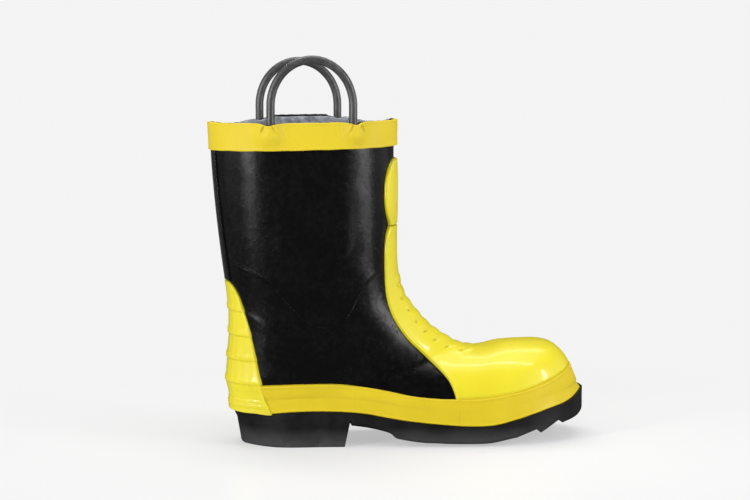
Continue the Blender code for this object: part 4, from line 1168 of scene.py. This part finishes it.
def build_heel_guard(paint):
    """The ribbed guard behind the heel: level rows from edge to edge round the back."""
    on_back = OUTER.t < 9.0
    quarter = edge_places(90, 46)
    turn = np.radians(np.concatenate([quarter[:-1] - 90, quarter]))
    relief = curve_smooth(GUARD_RELIEF)
    bottom = curve_through(FOXING_BOTTOM)
    outer, inner = [], []
    for level in guard_rows():
        z = max(level, GUARD_UPRIGHT)
        back_x = np.interp(-z, -OUTER.back[on_back, 1], OUTER.back[on_back, 0])
        front = guard_front(level) + 0.35 * (np.interp(level, *relief.T) - 3.0)
        x = back_x + 0.02 + (front - back_x) * (1 - np.cos(turn))
        lateral, medial = OUTER.sides(x, np.full_like(x, z))
        y = np.where(turn < 0, lateral, medial) * (np.abs(turn) > 1e-6)
        flat = np.column_stack([x, y])
        run = unit(np.gradient(flat, axis=0))
        out = np.column_stack([run[:, 1], -run[:, 0]])
        out *= np.sign(np.sum(out * (flat - SHAFT_MIDDLE), axis=1))[:, None]
        along = running_length(flat, 0)
        side_edge = np.minimum(along, along[-1] - along)
        ends = min(GUARD_TOP - level, level - GUARD_LOW)
        edge = np.minimum(side_edge, ends)
        flutes = 0.14 * np.cos(2 * math.pi * (along - along[-1] / 2) / 7.5)
        body = np.interp(level, *relief.T)
        taper = smoothstep((level - 30) / 22)
        body = body * (0.8 + 0.2 * taper)
        fit = smoothstep((8 - side_edge) / 8) * smoothstep((60 - level) / 8)
        body = body * (1 - fit) + np.maximum(body, PROUD + 1.0) * fit
        up = rounded(edge, body + flutes * smoothstep(edge / 4), 1.2, 0.2)
        place = flat + out * up[:, None]
        height = np.full_like(x, level)
        if level < GUARD_FOOT:
            low = line_at(bottom, place[:, 0]) - 1.4 * smoothstep((16 - side_edge) / 12)
            height = low + (level - GUARD_LOW) * (GUARD_FOOT - low) / (GUARD_FOOT - GUARD_LOW)
        outer.append(np.column_stack([place, height]))
        inner.append(np.column_stack([flat + out * SINK, height]))
    grid = np.concatenate([np.array(outer), np.array(inner)[:, ::-1]], axis=1)
    obj = loop_solid("heel_guard_ribbed", grid, paint["yellow_rubber"], "bridge", 60)
    return finish_piece(obj, "yellow_rubber", "heel_guard")


def curve_smooth(points):
    """A side-view relief line with its corners softened."""
    z = np.linspace(points[0][0], points[-1][0], 1500)
    value = line_at(points, z)
    kernel = np.exp(-np.linspace(-2, 2, 15) ** 2 / 2)
    padded = np.pad(value, 7, mode="edge")
    return np.column_stack([z, np.convolve(padded, kernel / kernel.sum(), mode="valid")])


# --- sole ---------------------------------------------------------------------------------------

SOLE_TIP_X = 164.4
HEEL_BREAST_X = -47.1
SEAT_BACK_X, HEEL_BACK_X, HEEL_RADIUS = -138.2, -137.9, 39.0
HEEL_SEAT = 6.0
HEEL_LEAN = 7.2
BEVEL = 2.2
LIP = 4.4
EDGE_LIFT, EDGE_REACH = 3.0, 27.0
GROOVES = (4.0, 18.5, 33.0, 47.5, 62.0, 76.5, 91.0, 105.0)
TOE_STEPS = (116.5, 137.5)
STEP_RUN, STEP_FALL, STEP_DEPTH = 21.0, 3.8, 3.9
HEEL_GROOVES = (-116.0, -100.5, -85.0, -69.5)


def sole_outline(x, lip):
    """The sole's y on both sides at x: the wall of the foot pushed out by lip, to a rounded tip."""
    centre, turn = 90.0, 5.0
    line = curve_through(FOXING_BOTTOM)
    fan = wall_points(fan_rays(centre, np.radians(np.linspace(-90, 90, 181)), turn), line, lip)
    stretch = (SOLE_TIP_X - centre) / (fan[:, 0].max() - centre)
    front = centre + (fan[:, 0] - centre) * stretch
    half = len(fan) // 2
    tip_low = np.interp(x, front[: half + 1], fan[: half + 1, 1])
    tip_high = np.interp(x, front[half:][::-1], fan[half:, 1][::-1])
    inside = np.minimum(x, centre)
    sides = []
    for side in (-1.0, 1.0):
        rays = side_rays(np.linspace(-134.0, centre, 120), side)
        wall = wall_points(rays, line, lip)
        sides.append(np.interp(inside, wall[:, 0], wall[:, 1]))
    return np.where(x < centre, sides[0], tip_low), np.where(x < centre, sides[1], tip_high)


def heel_outline(x, back):
    """The sole's y on both sides at x, drawn together to a half-round back."""
    low, high = sole_outline(x, LIP)
    near = np.clip((back + HEEL_RADIUS - x) / HEEL_RADIUS, 0, 0.9995)
    narrow = np.sqrt(1 - near * near)
    return low * narrow, high * narrow


def heel_places(back, count):
    """Places along X round the back of the heel, closest at its very back."""
    return back + 40 * (1 - np.cos(np.linspace(0.03, math.pi / 2, count)))


def sole_sections(x, low, high, top, bottom, tread, bevel):
    """Cross-sections of a sole: hidden top, walls with a soft lower edge, and a tread under it.

    Under the forefoot the tread curves up to the side walls, and those walls are slightly hollow.
    """
    wall = np.linspace(0, 1, 9)
    forefoot = smoothstep((x + 12.0) / 40.0) * smoothstep((124.0 - x) / 40.0)
    rings = []
    for i in range(len(x)):
        pull = min(bevel[i], (high[i] - low[i]) * 0.25)
        hollow = 0.35 if x[i] > HEEL_BREAST_X + 0.5 else 0.0
        lift = EDGE_LIFT * forefoot[i]
        points = []
        for side, y in ((0, low[i]), (1, high[i])):
            inwards = 1 if side == 0 else -1
            heights = top[i] + (bottom[i] + lift + pull - top[i]) * wall
            walls = [(x[i], y + inwards * hollow * math.sin(f * math.pi), z) for f, z in zip(wall, heights)]
            corner = [
                (x[i], y + inwards * pull * (1 - math.cos(a)),
                 bottom[i] + lift + pull * (1 - math.sin(a)))
                for a in np.radians((30, 55, 80))
            ]
            points.append(walls + corner)
        across = np.linspace(low[i] + pull, high[i] - pull, 61)
        crown = lift * np.clip(1 - np.minimum(across - low[i], high[i] - across) / EDGE_REACH, 0, 1) ** 1.6
        under = [
            (x[i], y, bottom[i] + rise + tread(x[i], y, low[i], high[i])) for y, rise in zip(across, crown)]
        lid = [(x[i], y, top[i]) for y in np.linspace(high[i], low[i], 8)[1:-1]]
        rings.append([*points[0], *under, *points[1][::-1], *lid])
    return np.array(rings)


def groove_depth(x, centre, half, depth):
    """The depth of one cross groove with slanting sides."""
    return depth * smoothstep((half + 0.5 - abs(x - centre)) / 1.0)


def sole_tread(x, y, low, high):
    """Curved cross grooves that stop short of the edges, and two long ones."""
    inside = smoothstep((min(y - low, high - y) - 5.0) / 1.2)
    bend = x - 0.0016 * (y - 3) ** 2
    cut = max(groove_depth(bend, g, 2.2, 3.0) for g in GROOVES) * inside
    for rail in (-17.0, 21.0):
        open_here = smoothstep((x - 10) / 3) * smoothstep((106 - x) / 3)
        cut = max(cut, groove_depth(y, rail, 1.3, 2.4) * open_here)
    return cut


def toe_steps(x):
    """The stepped lugs under the toe: each rises gently behind a corner and drops to it."""
    cut = np.zeros_like(x)
    for corner in TOE_STEPS:
        behind = corner - x
        ramp = np.minimum((STEP_RUN - behind) / (STEP_RUN - STEP_FALL), behind / STEP_FALL)
        cut = np.maximum(cut, STEP_DEPTH * np.clip(ramp, 0, 1))
    return cut


def heel_tread(x, y, low, high):
    """Cross grooves under the heel; every second one runs out to the sides."""
    cut = 0.0
    for i, g in enumerate(HEEL_GROOVES):
        reach = 1.0 if i % 2 else smoothstep((min(y - low, high - y) - 7.0) / 1.2)
        cut = max(cut, groove_depth(x - 0.002 * y * y, g, 2.0, 3.0) * reach)
    return cut


def lean_heel(points):
    """Leans the round back of the heel outwards towards its top, and curves it slightly."""
    up = np.clip(points[..., 2] / 30.5, 0, 1.1)
    near = smoothstep((-95.0 - points[..., 0]) / 42.0)
    points[..., 0] -= HEEL_LEAN * up ** 2.6 * near
    return points


def build_outsole(paint):
    """Sole layer from heel seat to toe."""
    x = np.concatenate([
        heel_places(SEAT_BACK_X, 40),
        np.linspace(-97.2, HEEL_BREAST_X, 40), np.linspace(-46.3, 150.0, 300),
        SOLE_TIP_X - 14.0 * (1 - np.sin(np.linspace(0.05, math.pi / 2, 34))),
    ])
    low, high = heel_outline(x, SEAT_BACK_X)
    bottom_line, under_line = curve_through(FOXING_BOTTOM), curve_through(SOLE_UNDER)
    edge = line_at(bottom_line, x)
    heel = x < -46.5
    under = np.where(heel, edge - HEEL_SEAT, line_at(under_line, x) + toe_steps(x))
    bevel = np.where(heel, 0.02, np.where(x > 100, 1.2, BEVEL))
    grid = sole_sections(x, low, high, edge + 0.1, under, sole_tread, bevel)
    grid = lean_heel(grid)
    obj = loop_solid("outsole_tread", grid, paint["sole_rubber"], "pole", 35)
    return finish_piece(obj, "sole_rubber", "outsole")


def build_heel(paint):
    """The heel block: round behind, drawn in towards the ground, with a slanting breast."""
    x = np.concatenate([heel_places(HEEL_BACK_X, 50), np.linspace(-97.0, HEEL_BREAST_X, 62)])
    low, high = heel_outline(x, HEEL_BACK_X)
    top = line_at(curve_through(FOXING_BOTTOM), x) - HEEL_SEAT + 0.1
    rounding = np.clip(1 - (x - HEEL_BACK_X) / 3.0, 0, 1)
    bottom = 3.0 * (1 - np.sqrt(1 - rounding ** 2))
    grid = sole_sections(x, low, high, top, bottom, heel_tread, np.full(len(x), BEVEL))
    grid = lean_heel(grid)
    breast = smoothstep((grid[..., 0] + 62.0) / 12.0)
    low_down = np.clip(1 - grid[..., 2] / 26.0, 0, 1)
    grid[..., 0] -= breast * 5.2 * low_down
    grid[..., 1] *= 1 - 0.045 * low_down
    for notch in (-101.5, -75.0):
        wedge = np.exp(-((grid[..., 0] - notch) / 2.2) ** 4) * smoothstep((8.0 - grid[..., 2]) / 4.0)
        grid[..., 1] *= 1 - 0.03 * wedge * smoothstep((grid[..., 2] - 0.6) / 1.4)
    obj = loop_solid("heel_lift", grid, paint["sole_rubber"], "pole", 35)
    return finish_piece(obj, "sole_rubber", "heel_block")


# --- handles and inside -------------------------------------------------------------------------


def handle_line(half, top, root_bottom):
    """The middle of a handle's tube from one buried foot over the arch to the other."""
    spring = top - half - 4.0
    leg = [(-half, z) for z in np.linspace(root_bottom, spring, 60)[:-1]]
    turn = np.radians(np.linspace(180, 0, 110))
    arch = [(half * math.cos(a), spring + (top - spring) * math.sin(a)) for a in turn]
    return np.array([*leg, *arch, *[(half, z) for _, z in leg[::-1]]])


def build_handle(paint, label):
    """A pull handle: one rubber tube whose feet flatten where they go in behind the band."""
    low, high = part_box(f"pull_handle_{label}")
    joint = next(j for j in frame["record"]["behaviour"]["joints"] if label in j["name"])
    hinge_x, hinge_y, hinge_z = [c / MM for c in joint["pos_m"]]
    root_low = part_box(f"handle_root_{label}_back")[0][2] / MM
    tube = (high[1] - low[1]) / 2 / MM
    half = (high[0] - low[0]) / 2 / MM - tube
    line = handle_line(half, high[2] / MM - tube - (3.0 if label == "medial" else 0.0), root_low)
    sides = np.arange(36) * 2 * math.pi / 36
    run = unit(np.gradient(line, axis=0))
    grid = []
    for (x, z), (dx, dz) in zip(line, run):
        foot = smoothstep((root_low + 8.0 - z) / 7.0)
        wide, thin = tube * (1 + 0.3 * foot), tube * (1 - 0.25 * foot)
        beside = np.array((dz, 0.0, -dx))
        ring = (
            np.outer(np.cos(sides) * wide, beside) + np.outer(np.sin(sides) * thin, (0, 1, 0)))
        grid.append(ring + (hinge_x + x, hinge_y, z))
    grid = np.array(grid)
    grid += 0.06 * ripple(grid, 4.0, 12.0)[..., None]
    obj = loop_solid(f"pull_loop_{label}", grid, paint["handle_rubber"], "pole", 70)
    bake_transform(obj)
    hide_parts(f"pull_handle_{label}", f"handle_root_{label}_back",
                f"handle_root_{label}_front")
    return obj


def build_footbed(paint):
    """The insole that shows at the bottom of the boot, with a raised edge round it."""
    rows = even_rows(10.9, 18.0, 120)
    grids = []
    for depth in (15.3, 11.7):
        skin = Skin(depth)
        grid = []
        for t in rows:
            n = float(OUTER.read(OUTER.n_back, t))
            reach = 0.7 * min(1.0, (18.6 - t) / 0.7, 0.75 + (t - 10.9) / 1.2)
            a = math.asin(max(reach, 0.2) ** (n / 2))
            grid.append(skin.at(t, np.linspace(math.pi - a, math.pi + a, 41)))
        grids.append(np.array(grid))
    top, under = grids
    across = np.abs(np.linspace(-1, 1, 41))
    top[..., 2] += 0.9 * smoothstep((across - 0.7) / 0.3)[None, :]
    grid = np.concatenate([top, under[:, ::-1]], axis=1)
    obj = loop_solid("footbed_cover", grid, paint["footbed_foam"], "bridge")
    return finish_piece(obj, "footbed_foam", "footbed")


def dress_cad(paint):
    """Gives each CAD node that stays its procedural material."""
    slots = {s["node"]: s["material_slot"] for s in frame["record"]["subparts"]}
    for name, obj in frame["nodes"].items():
        obj.data.materials.clear()
        obj.data.materials.append(paint[slots[name]])


# --- stage --------------------------------------------------------------------------------------


def aim(obj, place, target):
    obj.location = place
    obj.rotation_mode = "QUATERNION"
    obj.rotation_quaternion = (Vector(target) - Vector(place)).to_track_quat("-Z", "Y")


def add_camera():
    data = bpy.data.cameras.new("camera")
    data.lens = CAMERA_LENS
    camera = add_object("camera", data)
    a, e = math.radians(CAMERA_AZIMUTH), math.radians(CAMERA_ELEVATION)
    back = Vector((math.sin(a) * math.cos(e), -math.cos(a) * math.cos(e), math.sin(e)))
    aim(camera, CAMERA_TARGET + back * CAMERA_DISTANCE, CAMERA_TARGET)
    bpy.context.scene.camera = camera


def add_light(name, place, target, width, height, power, shines=True):
    data = bpy.data.lights.new(name, "AREA")
    data.shape = "RECTANGLE"
    data.size, data.size_y, data.energy = width, height, power
    light = add_object(name, data)
    aim(light, place, target)
    light.visible_camera = False
    light.visible_glossy = shines


def add_floor():
    """A pale round floor under the boot."""
    mesh = bpy.data.meshes.new("studio_floor")
    around = np.radians(np.arange(0, 360, 5))
    rings = [[(r * math.cos(a), r * math.sin(a), 0.0) for a in around] for r in (0.6, 3.0, 30.0)]
    count = len(around)
    faces = [list(range(count))]
    for k in range(2):
        for i in range(count):
            j = (i + 1) % count
            faces.append([k * count + i, k * count + j, (k + 1) * count + j, (k + 1) * count + i])
    mesh.from_pydata([p for ring in rings for p in ring], [], faces)
    mesh.materials.append(floor_paint())
    add_object("studio_floor", mesh)


def add_world():
    """An even backdrop that lights the boot a little and shows darkly in its glossy surfaces."""
    world = bpy.data.worlds.new("studio")
    bpy.context.scene.world = world
    world.use_nodes = True
    tree = world.node_tree
    tree.nodes.clear()
    lit, mirrored, seen = [tree.nodes.new("ShaderNodeBackground") for _ in range(3)]
    lit.inputs["Color"].default_value = (0.2, 0.2, 0.204, 1)
    mirrored.inputs["Color"].default_value = (0.04, 0.04, 0.04, 1)
    seen.inputs["Color"].default_value = (BACKDROP, BACKDROP, BACKDROP, 1)
    path = tree.nodes.new("ShaderNodeLightPath")
    last = lit
    for ray, light in (("Is Glossy Ray", mirrored), ("Is Camera Ray", seen)):
        mix = tree.nodes.new("ShaderNodeMixShader")
        tree.links.new(path.outputs[ray], mix.inputs["Fac"])
        tree.links.new(last.outputs[0], mix.inputs[1])
        tree.links.new(light.outputs[0], mix.inputs[2])
        last = mix
    out = tree.nodes.new("ShaderNodeOutputWorld")
    tree.links.new(last.outputs[0], out.inputs["Surface"])


def add_lights():
    """Soft boxes: overhead strips and fill, a strip and a panel on each side, front and rear fill."""
    middle, shaft = (-0.02, 0.0, 0.15), (-0.08, 0.0, 0.2)
    add_light("overhead_centre", (0.05, 0.08, 1.35), middle, 1.6, 0.05, 6.2)
    add_light("overhead_back", (0.05, 0.68, 1.3), middle, 1.6, 0.035, 3.8)
    add_light("overhead_fill", (0.0, 0.2, 1.6), middle, 1.5, 1.5, 9)
    add_light("side_left", (-1.18, -0.86, 0.4), shaft, 0.08, 1.2, 16)
    add_light("side_right", (1.08, -0.78, 0.4), shaft, 0.08, 1.2, 14)
    add_light("side_left_soft", (-1.7, -0.25, 0.5), shaft, 1.5, 1.3, 8)
    add_light("side_right_soft", (1.7, 0.15, 0.5), shaft, 1.3, 1.3, 4)
    add_light("front_fill", (-0.3, -2.2, 1.7), middle, 2.2, 1.0, 14, shines=False)
    add_light("rear_fill", (0.4, 2.3, 1.4), middle, 1.8, 1.2, 5, shines=False)
    bpy.context.scene.view_settings.view_transform = "Standard"


add_camera()
add_floor()
add_world()
add_lights()
paints = make_paints()
dress_cad(paints)
build_shell(paints)
build_ply_edges(paints)
build_lining(paints)
build_rim(paints)
build_back_strip(paints)
build_shin_guard(paints)
build_instep_cover(paints)
build_band(paints)
build_foxing(paints)
build_heel_guard(paints)
build_outsole(paints)
build_heel(paints)
build_handle(paints, "lateral")
build_handle(paints, "medial")
build_footbed(paints)
